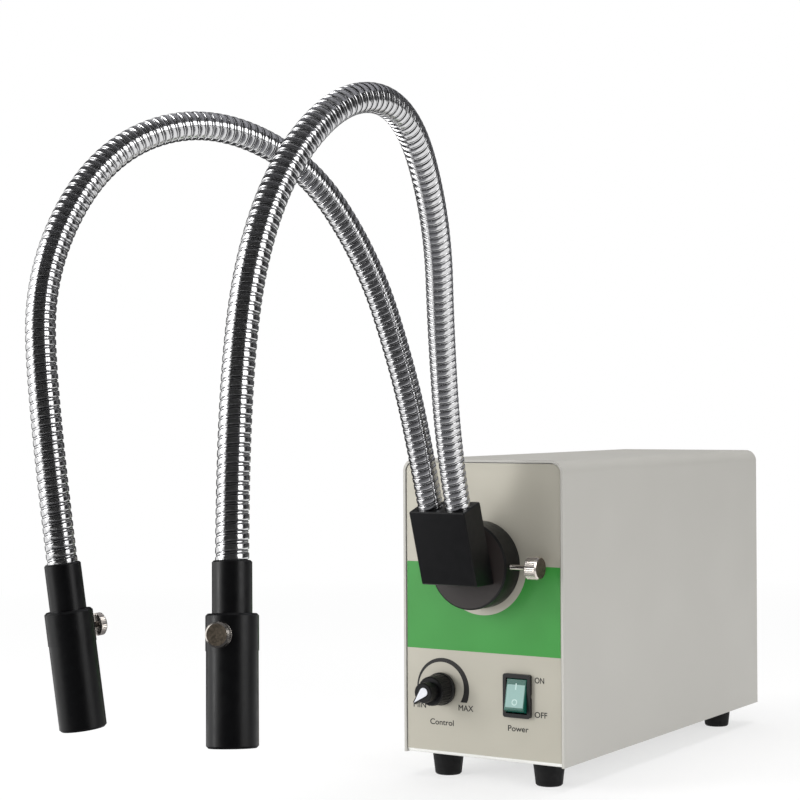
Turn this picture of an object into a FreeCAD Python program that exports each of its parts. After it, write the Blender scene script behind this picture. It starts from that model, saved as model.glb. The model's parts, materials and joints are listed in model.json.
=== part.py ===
import FreeCAD, Part
import math
import os

# Fibre optic illuminator with two self-supporting goosenecks: a case, its lamp and electrics, a light guide.
#
# Millimetres. +X is the case's right side as its user sees it, -Y is its front, +Z is up.
# The origin is the middle of the case's footprint, on the bench under the feet.
# Every piece is a solid of its own, written to parts/NODE.step.

V = FreeCAD.Vector
LEFT_TO_RIGHT = V(1, 0, 0)
FRONT_TO_BACK = V(0, 1, 0)
UP = V(0, 0, 1)

# ---------------------------------------------------------------- driving dimensions
# case
CASE_W = 88.0
CASE_D = 234.0
CASE_H = 143.0
COVER_T = 1.2
COVER_BEND_R = 6.0
SHEET_T = 1.5
SHEET_BEND_R = 2.0
SHEET_GAP = 0.3
LABEL_T = 0.5
LABEL_SINK = 0.6
LABEL_MARGIN = 0.15
TAB_W = 9.0
TAB_H = 12.0
TAB_TOP_DROP = 2.0

# feet
FOOT_H = 11.5
FOOT_TOP_R = 7.8
FOOT_LOW_R = 6.5
FOOT_SIDE_INSET = 16.0
FOOT_FRONT_INSET = 15.0
FOOT_BACK_INSET = 21.0
FOOT_POCKET_R = 4.2
FOOT_POCKET_H = 5.0

# screws and play
M4_R = 2.0
M4_HEAD_R = 3.8
M4_HEAD_H = 2.6
M4_NUT_R = 4.04
M4_NUT_H = 3.2
M3_R = 1.5
M3_HEAD_R = 2.8
M3_HEAD_H = 2.0
HOLE_PLAY = 0.2
TURN_PLAY = 0.08
SIDE_PLAY = 0.3

# light port
PORT_UP = 93.2
COLLAR_R = 20.8
COLLAR_T = 13.5
COLLAR_EDGE = 0.8
COLLAR_THREAD_R = 12.0
COLLAR_THREAD_L = 10.0
PORT_NUT_R = 16.0
PORT_NUT_T = 4.0
PORT_NUT_NOTCH_COUNT = 4
CLAMP_FROM_FACE = 5.2
CLAMP_HEAD_R = 5.5
CLAMP_HEAD_L = 6.5
CLAMP_HEAD_OUT = 9.2
CLAMP_GROOVE_COUNT = 24
CLAMP_PITCH = 0.5

# light guide
FERRULE_R = 6.5
FERRULE_BEHIND_PANEL = 11.0
FIBRE_R = 5.0
BLOCK_W = 29.8
BLOCK_L = 41.2
BLOCK_T = 15.5
BLOCK_LEAN = 18.0
BLOCK_BELOW_AXIS = 7.9
BLOCK_EDGE = 0.5
BLOCK_GAP = 0.4
BLOCK_BORE_DEPTH = 12.0
NECK_R = 6.0
NECK_SPACING = 14.8
NECK_SEAT = 8.0
NECK_ROOT_RUN = 24.0
GLUE_GAP = 0.05
BALL_STEP = 0.05
BALL_PLAY = 0.3

# neck corners, from the middle of the block's top face: to the right, forward is minus, up
LEFT_NECK_CORNERS = [
    (-7.0, -23.0, 62.0),
    (-11.5, -45.0, 112.5),
    (-22.0, -79.0, 153.5),
    (-41.5, -125.0, 168.5),
    (-61.0, -165.0, 150.5),
    (-67.5, -195.0, 102.0),
    (-61.5, -200.0, 48.0),
    (-53.0, -196.0, -26.0),
]
RIGHT_NECK_CORNERS = [
    (18.5, -32.0, 76.0),
    (36.0, -63.0, 126.0),
    (51.0, -111.0, 167.5),
    (48.5, -154.0, 165.5),
    (41.0, -191.0, 125.0),
    (41.5, -212.0, 58.0),
    (47.5, -220.0, -19.5),
]
# the runs of each neck, counted from its root, that hold a bending place at their middle
LEFT_BENDS_AT = [2, 4, 7]
RIGHT_BENDS_AT = [2, 4, 6]
BEND_SHARE = 0.45

# lens heads
TIP_FERRULE_R = 7.1
TIP_FERRULE_L = 32.0
TIP_SEAT = 12.0
BARREL_R = 9.4
BARREL_L = 46.5
BARREL_LAP = 13.5
BARREL_INSIDE_R = 8.0
BARREL_EDGE = 0.8
BARREL_FRONT_R = 9.2
BARREL_FRONT_FROM_TOP = 13.0
LENS_R = 7.9
LENS_EDGE_T = 2.0
LENS_CROWN = 2.5
LENS_FROM_MOUTH = 4.0
RING_T = 2.0
LENS_SCREW_FROM_TOP = 7.5
LENS_HEAD_R = 4.5
LENS_HEAD_L = 3.4
LENS_HEAD_OUT = 1.5
LENS_GROOVE_COUNT = 20
LEFT_SCREW_TURN = 73.0
RIGHT_SCREW_TURN = -74.0

# knob and potentiometer
KNOB_INSET = 21.9
KNOB_UP = 32.3
KNOB_SKIRT_R = 7.9
KNOB_SKIRT_L = 1.6
KNOB_BODY_R = 7.5
KNOB_SHOULDER_R = 7.0
KNOB_CAP_R = 4.8
KNOB_CAP_L = 6.6
KNOB_L = 17.0
KNOB_WALL = 0.7
KNOB_FACE_T = 2.5
KNOB_EDGE = 0.5
KNOB_FLUTE_COUNT = 24
KNOB_FLUTE_R = 0.6
KNOB_FLUTE_DEPTH = 0.25
KNOB_OFF_FACE = 1.5
NOSE_REACH = 7.1
NOSE_ROOT_W = 4.4
NOSE_TIP_W = 1.4
POINTER_T = 0.6
POINTER_R = 2.1
POINTER_BACK = 0.7
POINTER_REACH = 6.8
POINTER_REST = 225.0
POT_R = 8.5
POT_L = 9.0
BUSHING_R = 3.5
BUSHING_OUT = 5.0
POT_NUT_R = 5.2
POT_NUT_T = 2.0
SHAFT_R = 3.0
SHAFT_OUT = 15.0

# power switch
SWITCH_INSET = 24.5
SWITCH_UP = 32.0
BEZEL_W = 14.6
BEZEL_H = 20.6
BEZEL_T = 2.0
BEZEL_R = 1.2
SWITCH_BODY_W = 13.0
SWITCH_BODY_H = 19.0
SWITCH_BODY_L = 14.0
ROCKER_W = 10.7
ROCKER_R = 8.1
ROCKER_AXIS_IN = 0.5
ROCKER_FACE_OUT = 3.6
ROCKER_BACK_IN = 4.9
ROCKER_EDGE = 0.4
ROCKER_TILT = 13.0
ROCKER_PIN_R = 1.2
TERMINAL_W = 4.8
TERMINAL_T = 0.8
TERMINAL_L = 7.0

# fan at the back
FAN_SIZE = 60.0
FAN_T = 25.0
FAN_DUCT_R = 28.4
FAN_HOLE_PITCH = 50.0
FAN_HUB_R = 13.0
FAN_BLADE_R = 27.4
FAN_BLADE_COUNT = 7
FAN_BLADE_T = 1.2
FAN_ROOT_PITCH = 50.0
FAN_TIP_PITCH = 28.0
FAN_PLATE_T = 2.0
FAN_ARM_W = 3.0
FAN_RUN_GAP = 1.0
FAN_SPINDLE_L = 15.0
FAN_BACK_GAP = 2.0
FAN_BLADE_INSET = 1.5
FAN_CORNER_R = 4.0
FAN_FLANGE_T = 3.5
FAN_WALL_T = 1.6
GUARD_T = 1.5
GUARD_WIRE = 1.8
GUARD_RADII = [9.5, 15.0, 20.5, 26.0]
GUARD_LUG_R = 4.5
FAN_SCREW_L = 12.0

# mains inlet at the back
INLET_INSET = 26.0
INLET_UP = 31.0
INLET_FLANGE_W = 31.0
INLET_FLANGE_H = 33.0
INLET_FLANGE_T = 2.5
INLET_W = 27.5
INLET_H = 29.5
INLET_L = 20.0
SOCKET_W = 24.4
SOCKET_H = 16.6
SOCKET_DEPTH = 16.0
SOCKET_CORNER = 4.5
SOCKET_RAISE = 4.5
PIN_SPACING = 7.0
PIN_W = 2.0
PIN_H = 4.0
PIN_SHORT = 1.5
PIN_EARTH_RAISE = 4.0
DRAWER_W = 21.0
DRAWER_H = 5.6
DRAWER_L = 17.0
DRAWER_DROP = 10.3
DRAWER_LIP = 1.0

# lamp, glass and their holders
GLASS_R = 20.0
GLASS_T = 3.0
HOLDER_Y = 21.0
HOLDER_W = 48.0
HOLDER_OPEN_R = 16.0
HOLDER_CUP_WALL = 1.5
LAMP_Y = 34.0
LAMP_R = 25.0
LAMP_RIM_T = 2.0
LAMP_RIM_STEP = 1.0
LAMP_DEPTH = 30.0
LAMP_NECK_R = 9.0
LAMP_NECK_L = 8.0
LAMP_WALL = 1.6
DISH_STEP_COUNT = 8
BULB_R = 4.6
BULB_L = 24.0
SOCKET_BLOCK = 18.0
SOCKET_BLOCK_L = 10.0
BRACKET_W = 62.0
BRACKET_FOOT = 14.0

# transformer and dimmer board
CORE_W = 62.0
CORE_L = 32.0
CORE_H = 54.0
CORE_LEG = 18.0
CORE_YOKE = 10.0
COIL_L = 50.0
COIL_Y = 154.0
STRAP_T = 1.2
STRAP_FOOT = 10.0
BOARD_W = 72.0
BOARD_L = 60.0
BOARD_T = 1.6
BOARD_Y = 88.0
STANDOFF_R = 3.0
STANDOFF_H = 6.0
STANDOFF_INSET = 4.5
SINK_W = 30.0
SINK_H = 30.0
SINK_BASE = 3.0
SINK_FIN_L = 14.0
SINK_FIN_T = 1.4
SINK_FIN_COUNT = 6
SINK_INSET = 10.0
CAPACITOR_R = 6.0
CAPACITOR_H = 22.0
CAPACITOR_INSET = 12.0
CAPACITOR_PITCH = 14.0
TERMINAL_BLOCK = (20.0, 9.0, 11.0)
CHOKE_R = 9.0
CHOKE_T = 8.0
CHOKE_INSET = 20.0

# air slots in the base
SLOT_L = 36.0
SLOT_W = 3.0
SLOT_PITCH = 7.0
SLOT_COUNT = 8
SLOT_Y = 70.0

# ---------------------------------------------------------------- places worked out from them
FRONT = -CASE_D / 2
BACK = CASE_D / 2
SILL = FOOT_H
ROOF = FOOT_H + CASE_H
COVER_IN_X = CASE_W / 2 - COVER_T
LABEL_FACE = FRONT + LABEL_SINK
PANEL_FACE = LABEL_FACE + LABEL_T
PANEL_BACK = PANEL_FACE + SHEET_T
REAR_FACE = BACK - COVER_T
REAR_INSIDE = REAR_FACE - SHEET_T
FLOOR_TOP = SILL + SHEET_T
PANEL_W = 2 * (COVER_IN_X - SHEET_GAP)
PANEL_TOP = ROOF - COVER_T - SHEET_GAP
PANEL_CORNER_R = COVER_BEND_R - COVER_T - SHEET_GAP
PORT_Z = SILL + PORT_UP
KNOB_X = KNOB_INSET - CASE_W / 2
KNOB_Z = SILL + KNOB_UP
SWITCH_X = CASE_W / 2 - SWITCH_INSET
SWITCH_Z = SILL + SWITCH_UP
INLET_X = INLET_INSET - CASE_W / 2
INLET_Z = SILL + INLET_UP
COLLAR_FACE = LABEL_FACE - COLLAR_T
CLAMP_Y = COLLAR_FACE + CLAMP_FROM_FACE
THREAD_END = PANEL_BACK + COLLAR_THREAD_L
FEET = [
    (side * (CASE_W / 2 - FOOT_SIDE_INSET), y)
    for side in (-1, 1)
    for y in (FRONT + FOOT_FRONT_INSET, BACK - FOOT_BACK_INSET)
]
FAN_HOLES = [
    (side * FAN_HOLE_PITCH / 2, PORT_Z + end * FAN_HOLE_PITCH / 2)
    for side in (-1, 1)
    for end in (-1, 1)
]
TABS = [
    (side, z)
    for side in (-1, 1)
    for z in (SILL + TAB_TOP_DROP + TAB_H / 2, PANEL_TOP - PANEL_CORNER_R - TAB_TOP_DROP - TAB_H / 2)
]
TAB_X = COVER_IN_X - TAB_W / 2


# ---------------------------------------------------------------- shape helpers
def block(x0, x1, y0, y1, z0, z1):
    """A box between two corners."""
    return Part.makeBox(x1 - x0, y1 - y0, z1 - z0, V(x0, y0, z0))


def rod(radius, start, end):
    """A cylinder between two points."""
    along = end - start
    return Part.makeCylinder(radius, along.Length, start, along)


def along_y(radius, x, z, y0, y1):
    """A cylinder that runs from the front towards the back."""
    return rod(radius, V(x, y0, z), V(x, y1, z))


def joined(shapes):
    """One solid from shapes that touch or overlap."""
    return shapes[0].multiFuse(shapes[1:]).removeSplitter()


def without(shape, tools):
    """The shape with every tool cut out of it."""
    return shape.cut(Part.makeCompound(tools))


def prism(points, direction):
    """A polygon pushed along a direction."""
    return Part.Face(Part.makePolygon(points + points[:1])).extrude(direction)


def turned(profile, base, axis):
    """A profile of (radius, distance along the axis) points, turned about the axis from its base."""
    face = Part.Face(Part.makePolygon([V(r, 0, t) for r, t in profile + profile[:1]]))
    solid = face.revolve(V(0, 0, 0), UP, 360)
    solid.Placement = FreeCAD.Placement(base, FreeCAD.Rotation(UP, axis))
    return solid


def rounded_plate(width, height, radius, thickness):
    """A plate with rounded corners, centred in X and Z, from Y = 0 to its thickness."""
    plate = block(-width / 2, width / 2, 0, thickness, -height / 2, height / 2)
    corners = [e for e in plate.Edges if abs(e.BoundBox.YLength - thickness) < 1e-6]
    return plate.makeFillet(radius, corners)


def hexagon(radius, centre, direction):
    """A hexagonal bar from its corner radius."""
    corners = [V(radius * math.cos(a), radius * math.sin(a), 0) for a in [k * math.pi / 3 for k in range(6)]]
    bar = prism(corners, V(0, 0, direction.Length))
    bar.Placement = FreeCAD.Placement(centre, FreeCAD.Rotation(UP, direction))
    return bar


def grooved(solid, base, axis, radius, length, count, depth):
    """A turned solid with straight grooves cut along its rim."""
    across = axis.cross(FRONT_TO_BACK if abs(axis.y) < 0.9 else UP)
    across.normalize()
    tools = []
    for k in range(count):
        spoke = FreeCAD.Rotation(axis, 360.0 * k / count).multVec(across)
        foot = base + spoke * (radius + depth / 2)
        tools.append(Part.makeCylinder(depth, length, foot, axis))
    return without(solid, tools)


def pan_screw(radius, head_radius, head_height, length, seat, inward):
    """A pan head screw: its head's flat side on the seat, its shank going inward."""
    head = turned(
        [(0, 0), (head_radius, 0), (head_radius, head_height * 0.6), (head_radius * 0.75, head_height),
         (0, head_height)],
        seat,
        inward * -1,
    )
    slot = block(-head_radius, head_radius, -0.4, 0.4, head_height * 0.5, head_height)
    slot.Placement = FreeCAD.Placement(seat, FreeCAD.Rotation(UP, inward * -1))
    return joined([head, rod(radius, seat, seat + inward * length)]).cut(slot)


# ---------------------------------------------------------------- case
def make_chassis():
    """Front, base and back walls, bent from one sheet, with every hole that the other pieces need."""
    half = PANEL_W / 2
    outer = block(-half, half, PANEL_FACE, REAR_FACE, SILL, PANEL_TOP)
    low = [e for e in outer.Edges if e.BoundBox.XLength > half and e.BoundBox.ZMax < SILL + 0.01]
    outer = outer.makeFillet(SHEET_BEND_R, low)
    inner = block(-half - 1, half + 1, PANEL_BACK, REAR_INSIDE, FLOOR_TOP, PANEL_TOP + 1)
    low = [e for e in inner.Edges if e.BoundBox.XLength > half and e.BoundBox.ZMax < FLOOR_TOP + 0.01]
    inner = inner.makeFillet(SHEET_BEND_R - SHEET_T, low)
    sheet = outer.cut(inner)
    outline = block(-half, half, FRONT, BACK, SILL, PANEL_TOP)
    tops = [e for e in outline.Edges if e.BoundBox.YLength > 1 and e.BoundBox.ZMin > PANEL_TOP - 0.01]
    sheet = sheet.common(outline.makeFillet(PANEL_CORNER_R, tops))
    tools = front_holes(PANEL_FACE - 1, PANEL_BACK + 1)
    tools += [along_y(FAN_DUCT_R - 1, 0, PORT_Z, REAR_INSIDE - 1, REAR_FACE + 1)]
    tools += [along_y(M4_R + HOLE_PLAY, x, z, REAR_INSIDE - 1, REAR_FACE + 1) for x, z in FAN_HOLES]
    tools += [along_y(M3_R + TURN_PLAY, side * TAB_X, z, REAR_INSIDE - 1, REAR_FACE + 1) for side, z in TABS]
    tools += [block(INLET_X - INLET_W / 2 - SIDE_PLAY, INLET_X + INLET_W / 2 + SIDE_PLAY, REAR_INSIDE - 1,
                    REAR_FACE + 1, INLET_Z - INLET_H / 2 - SIDE_PLAY, INLET_Z + INLET_H / 2 + SIDE_PLAY)]
    tools += [rod(M4_R + HOLE_PLAY, V(x, y, SILL - 1), V(x, y, FLOOR_TOP + 1)) for x, y in FEET]
    for k in range(SLOT_COUNT):
        y = FRONT + SLOT_Y + (k - (SLOT_COUNT - 1) / 2) * SLOT_PITCH
        tools += [block(-SLOT_L / 2, SLOT_L / 2, y - SLOT_W / 2, y + SLOT_W / 2, SILL - 1, FLOOR_TOP + 1)]
    return without(sheet, tools)


def front_holes(y0, y1):
    """The holes for the light port, the potentiometer and the switch, through the panel and its label."""
    switch = block(SWITCH_X - SWITCH_BODY_W / 2 - HOLE_PLAY, SWITCH_X + SWITCH_BODY_W / 2 + HOLE_PLAY, y0, y1,
                   SWITCH_Z - SWITCH_BODY_H / 2 - HOLE_PLAY, SWITCH_Z + SWITCH_BODY_H / 2 + HOLE_PLAY)
    return [
        along_y(COLLAR_THREAD_R + HOLE_PLAY, 0, PORT_Z, y0, y1),
        along_y(BUSHING_R + HOLE_PLAY, KNOB_X, KNOB_Z, y0, y1),
        switch,
    ]


def make_front_label():
    """The printed plate on the front panel."""
    half = PANEL_W / 2 - LABEL_MARGIN
    plate = block(-half, half, LABEL_FACE, PANEL_FACE, SILL + SHEET_BEND_R, PANEL_TOP - LABEL_MARGIN)
    corners = [e for e in plate.Edges
               if e.BoundBox.YLength > LABEL_T / 2 and e.BoundBox.ZMin > PANEL_TOP - LABEL_MARGIN - 0.01]
    return without(plate.makeFillet(PANEL_CORNER_R, corners), front_holes(LABEL_FACE - 1, PANEL_FACE + 1))


def make_top_cover():
    """The top and sides, bent from one sheet, with four tabs that lie behind the back wall."""
    half = CASE_W / 2
    outer = block(-half, half, FRONT, BACK, SILL, ROOF)
    inner = block(-COVER_IN_X, COVER_IN_X, FRONT - 1, BACK + 1, SILL - 1, ROOF - COVER_T)
    tops = [e for e in outer.Edges if e.BoundBox.YLength > 1 and e.BoundBox.ZMin > ROOF - 0.01]
    outer = outer.makeFillet(COVER_BEND_R, tops)
    tops = [e for e in inner.Edges if e.BoundBox.YLength > 1 and e.BoundBox.ZMin > ROOF - COVER_T - 0.01]
    inner = inner.makeFillet(COVER_BEND_R - COVER_T, tops)
    tabs = []
    for side, z in TABS:
        x0, x1 = sorted([side * (COVER_IN_X + COVER_T / 2), side * (COVER_IN_X - TAB_W)])
        tab = block(x0, x1, REAR_FACE, BACK, z - TAB_H / 2, z + TAB_H / 2)
        tabs.append(tab.cut(along_y(M3_R + HOLE_PLAY, side * TAB_X, z, REAR_FACE - 1, BACK + 1)))
    return joined([outer.cut(inner)] + tabs)


def make_cover_screws():
    """Four screws through the cover's tabs into the back wall."""
    length = COVER_T + SHEET_T + 3
    return [pan_screw(M3_R, M3_HEAD_R, M3_HEAD_H, length, V(side * TAB_X, BACK, z), FRONT_TO_BACK * -1)
            for side, z in TABS]


def make_rubber_feet():
    """Four tapered feet, each with a pocket for its screw's head."""
    profile = [
        (M4_R + HOLE_PLAY, FOOT_H),
        (FOOT_TOP_R, FOOT_H),
        (FOOT_LOW_R, 0.6),
        (FOOT_LOW_R - 0.6, 0),
        (FOOT_POCKET_R, 0),
        (FOOT_POCKET_R, FOOT_POCKET_H),
        (M4_R + HOLE_PLAY, FOOT_POCKET_H),
    ]
    return [turned(profile, V(x, y, 0), UP) for x, y in FEET]


def make_foot_screws():
    """A screw up through each foot and the base, and its nut on the base."""
    solids = []
    for x, y in FEET:
        seat = V(x, y, FOOT_POCKET_H)
        length = FLOOR_TOP + M4_NUT_H + 1 - FOOT_POCKET_H
        solids.append(pan_screw(M4_R, M4_HEAD_R, M4_HEAD_H, length, seat, UP))
        nut = hexagon(M4_NUT_R, V(x, y, FLOOR_TOP), UP * M4_NUT_H)
        solids.append(nut.cut(rod(M4_R + GLUE_GAP, V(x, y, SILL), V(x, y, FLOOR_TOP + 2 * M4_NUT_H))))
    return solids


# ---------------------------------------------------------------- light port
def make_port_collar():
    """The round collar in front of the panel, its barrel, and the tapped hole for the clamp screw."""
    profile = [
        (FERRULE_R + TURN_PLAY, 0),
        (COLLAR_R - COLLAR_EDGE, 0),
        (COLLAR_R, COLLAR_EDGE),
        (COLLAR_R, COLLAR_T),
        (COLLAR_THREAD_R, COLLAR_T),
        (COLLAR_THREAD_R, THREAD_END - COLLAR_FACE),
        (FERRULE_R + TURN_PLAY, THREAD_END - COLLAR_FACE),
    ]
    collar = turned(profile, V(0, COLLAR_FACE, PORT_Z), FRONT_TO_BACK)
    return collar.cut(rod(M3_R + TURN_PLAY, V(0, CLAMP_Y, PORT_Z), V(2 * COLLAR_R, CLAMP_Y, PORT_Z)))


def make_port_nut():
    """The notched ring nut that holds the collar from inside."""
    y0, y1 = PANEL_BACK, PANEL_BACK + PORT_NUT_T
    ring = along_y(PORT_NUT_R, 0, PORT_Z, y0, y1)
    ring = ring.cut(along_y(COLLAR_THREAD_R + GLUE_GAP, 0, PORT_Z, y0 - 1, y1 + 1))
    notches = []
    for k in range(PORT_NUT_NOTCH_COUNT):
        notch = block(PORT_NUT_R - 2, PORT_NUT_R + 2, y0 - 1, y1 + 1, -1.5, 1.5)
        notch.rotate(V(0, 0, 0), FRONT_TO_BACK, 360.0 * k / PORT_NUT_NOTCH_COUNT + 45)
        notch.translate(V(0, 0, PORT_Z))
        notches.append(notch)
    return without(ring, notches)


def thumb_screw(axis_point, out, tip_at, head_at, head_radius, head_length, grooves):
    """A stud and its grooved head, measured outward from the axis of the piece that it clamps."""
    blind = head_length * 0.7
    stud = rod(M3_R, axis_point + out * tip_at, axis_point + out * (head_at + blind))
    edge = 0.5
    profile = [
        (M3_R + TURN_PLAY, 0),
        (head_radius - edge, 0),
        (head_radius, edge),
        (head_radius, head_length - edge),
        (head_radius - edge, head_length),
        (0, head_length),
        (0, blind + TURN_PLAY),
        (M3_R + TURN_PLAY, blind + TURN_PLAY),
    ]
    base = axis_point + out * head_at
    head = turned(profile, base, out)
    head = grooved(head, base + out * 2 * edge, out, head_radius, head_length - 4 * edge, grooves, 0.35)
    return stud, head


# ---------------------------------------------------------------- light guide
LEAN = math.radians(BLOCK_LEAN)
BLOCK_UP = V(0, -math.sin(LEAN), math.cos(LEAN))
BLOCK_FORWARD = V(0, -math.cos(LEAN), -math.sin(LEAN))
BLOCK_FOOT = V(0, COLLAR_FACE - BLOCK_GAP, PORT_Z - BLOCK_BELOW_AXIS)
BLOCK_TOP_BACK = BLOCK_FOOT + BLOCK_UP * BLOCK_L
BLOCK_TOP = BLOCK_TOP_BACK + BLOCK_FORWARD * (BLOCK_T / 2)
FERRULE_START = COLLAR_FACE - BLOCK_BORE_DEPTH
FERRULE_END = PANEL_BACK + FERRULE_BEHIND_PANEL


def neck_corners(side, corners):
    """The corner points of one neck's centre line, from its seat in the block to its end."""
    socket = BLOCK_TOP + LEFT_TO_RIGHT * (side * NECK_SPACING / 2)
    points = [socket - BLOCK_UP * NECK_SEAT, socket + BLOCK_UP * NECK_ROOT_RUN]
    return points + [BLOCK_TOP + V(*corner) for corner in corners]


def bend_at(points, k):
    """Where the round bend at corner k starts, passes through and ends, and its radius."""
    corner = points[k]
    back, ahead = points[k - 1] - corner, points[k + 1] - corner
    trim = BEND_SHARE * min(back.Length, ahead.Length)
    half_turn = (math.pi - back.getAngle(ahead)) / 2
    radius = trim / math.tan(half_turn)
    back.normalize()
    ahead.normalize()
    inward = back + ahead
    inward.normalize()
    middle = corner + inward * (math.hypot(trim, radius) - radius)
    return corner + back * trim, middle, corner + ahead * trim, radius


def run_middle(points, k):
    """The middle of run k, which is always on its straight stretch."""
    return (points[k] + points[k + 1]) * 0.5


def run_direction(points, k):
    """The direction of run k."""
    along = points[k + 1] - points[k]
    return along.normalize()


def neck_tube(points, first_run, last_run, start, end):
    """The tube from a point on one run to a point on a later run: straight runs with tangent arcs."""
    edges, here, length = [], start, 0
    for k in range(first_run + 1, last_run + 1):
        begin, middle, finish, radius = bend_at(points, k)
        edges += [Part.LineSegment(here, begin).toShape(), Part.Arc(begin, middle, finish).toShape()]
        here = finish
    edges.append(Part.LineSegment(here, end).toShape())
    path = Part.Wire(edges)
    circle = Part.Wire([Part.makeCircle(NECK_R, start, run_direction(points, first_run))])
    return path.makePipeShell([circle], True, False)


def with_ball(tube, centre, along):
    """The tube with a round end, a ball a shade smaller than the tube."""
    return tube.fuse(Part.makeSphere(NECK_R - BALL_STEP, centre, along))


def with_cup(tube, centre, along):
    """The tube with a hollow round end that clears the ball."""
    return tube.cut(Part.makeSphere(NECK_R + BALL_PLAY, centre, along))


def make_neck(points, bends):
    """A neck's root, rise, drop and tip pieces, and the centres of its three bending places."""
    last = len(points) - 2
    centres = [run_middle(points, k) for k in bends]
    stops = [(0, points[0])] + list(zip(bends, centres)) + [(last, points[-1])]
    pieces = []
    for number, ((k0, start), (k1, end)) in enumerate(zip(stops, stops[1:])):
        piece = neck_tube(points, k0, k1, start, end)
        if number > 0:
            piece = with_cup(piece, start, run_direction(points, k0))
        if number < len(bends):
            piece = with_ball(piece, end, run_direction(points, k1))
        pieces.append(piece)
    return pieces, centres


LEFT_POINTS = neck_corners(-1, LEFT_NECK_CORNERS)
RIGHT_POINTS = neck_corners(1, RIGHT_NECK_CORNERS)


def make_guide_block():
    """The leaning block where the bundle divides, cut level below, bored for the ferrule and both necks."""
    reach = BLOCK_L + BLOCK_T
    back_low = BLOCK_FOOT - BLOCK_UP * reach
    through = BLOCK_FORWARD * BLOCK_T
    corners = [back_low, BLOCK_TOP_BACK, BLOCK_TOP_BACK + through, back_low + through]
    half = LEFT_TO_RIGHT * (BLOCK_W / 2)
    solid = prism([c - half for c in corners], half * 2)
    solid = solid.cut(block(-BLOCK_W, BLOCK_W, FRONT - 2 * reach, FRONT + reach, PORT_Z - 3 * reach,
                            PORT_Z - BLOCK_BELOW_AXIS))
    solid = solid.makeChamfer(BLOCK_EDGE, solid.Edges)
    bores = [along_y(FERRULE_R + GLUE_GAP, 0, PORT_Z, FERRULE_START, COLLAR_FACE + 1)]
    for points in (LEFT_POINTS, RIGHT_POINTS):
        bores.append(rod(NECK_R + GLUE_GAP, points[0], points[0] + BLOCK_UP * 2 * NECK_SEAT))
    return without(solid, bores)


def make_guide_ferrule():
    """The steel sleeve on the common end of the bundle, which goes through the collar."""
    sleeve = along_y(FERRULE_R, 0, PORT_Z, FERRULE_START, FERRULE_END)
    return sleeve.cut(along_y(FIBRE_R + GLUE_GAP, 0, PORT_Z, FERRULE_START - 1, FERRULE_END + 1))


def make_input_fibres():
    """The polished common end of the bundle."""
    return along_y(FIBRE_R, 0, PORT_Z, FERRULE_START, FERRULE_END)


# ---------------------------------------------------------------- lens heads
def tip_frame(points):
    """A neck's end point and its direction there."""
    return points[-1], run_direction(points, len(points) - 2)


def make_tip_ferrule(points):
    """The bright sleeve on the end of a neck, which the lens barrel slides on."""
    end, down = tip_frame(points)
    edge = 0.6
    profile = [
        (NECK_R + GLUE_GAP, 0),
        (TIP_FERRULE_R - edge, 0),
        (TIP_FERRULE_R, edge),
        (TIP_FERRULE_R, TIP_FERRULE_L - edge),
        (TIP_FERRULE_R - edge, TIP_FERRULE_L),
        (0, TIP_FERRULE_L),
        (0, TIP_SEAT),
        (NECK_R + GLUE_GAP, TIP_SEAT),
    ]
    return turned(profile, end - down * TIP_SEAT, down)


def barrel_top(points):
    """Where the axis meets the lens barrel's upper end."""
    end, down = tip_frame(points)
    return end + down * (TIP_FERRULE_L - TIP_SEAT - BARREL_LAP)


def make_lens_barrel(points, out):
    """The lens barrel: a close bore for the ferrule, a wider mouth for the lens, and a tapped clamp hole.

    Its front is turned a little smaller, as the seat of a slip-on filter holder.
    """
    end, down = tip_frame(points)
    top = barrel_top(points)
    edge = BARREL_EDGE
    grip = TIP_FERRULE_R + TURN_PLAY
    seat = BARREL_L - LENS_FROM_MOUTH - LENS_EDGE_T
    profile = [
        (grip, 0),
        (BARREL_R - edge, 0),
        (BARREL_R, edge),
        (BARREL_R, BARREL_FRONT_FROM_TOP),
        (BARREL_FRONT_R, BARREL_FRONT_FROM_TOP),
        (BARREL_FRONT_R, BARREL_L - edge),
        (BARREL_FRONT_R - edge, BARREL_L),
        (BARREL_INSIDE_R, BARREL_L),
        (BARREL_INSIDE_R, seat),
        (grip, seat),
    ]
    barrel = turned(profile, top, down)
    level = top + down * LENS_SCREW_FROM_TOP
    return barrel.cut(rod(M3_R + TURN_PLAY, level, level + out * 2 * BARREL_R))


def make_lens(points):
    """The plano-convex lens, its flat side on the barrel's step and its crown towards the bundle."""
    end, down = tip_frame(points)
    seat = barrel_top(points) + down * (BARREL_L - LENS_FROM_MOUTH - LENS_EDGE_T)
    aperture = TIP_FERRULE_R + TURN_PLAY - SIDE_PLAY
    radius = (aperture ** 2 + LENS_CROWN ** 2) / (2 * LENS_CROWN)
    disc = rod(LENS_R, seat, seat + down * LENS_EDGE_T)
    ball = Part.makeSphere(radius, seat + down * (radius - LENS_CROWN))
    crown = ball.common(rod(aperture, seat - down * 2 * LENS_CROWN, seat + down * (LENS_EDGE_T / 2)))
    return joined([disc, crown])


def make_lens_ring(points):
    """The ring that holds the lens against its step."""
    end, down = tip_frame(points)
    base = barrel_top(points) + down * (BARREL_L - LENS_FROM_MOUTH)
    ring = rod(BARREL_INSIDE_R - GLUE_GAP, base, base + down * RING_T)
    ring = ring.cut(rod(BARREL_INSIDE_R - 1.6, base - down, base + down * (RING_T + 1)))
    slots = []
    for side in (-1, 1):
        across = down.cross(LEFT_TO_RIGHT).normalize() * side
        slots.append(Part.makeCylinder(0.8, RING_T, base + across * (BARREL_INSIDE_R - 1.4) + down, down))
    return without(ring, slots)


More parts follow.
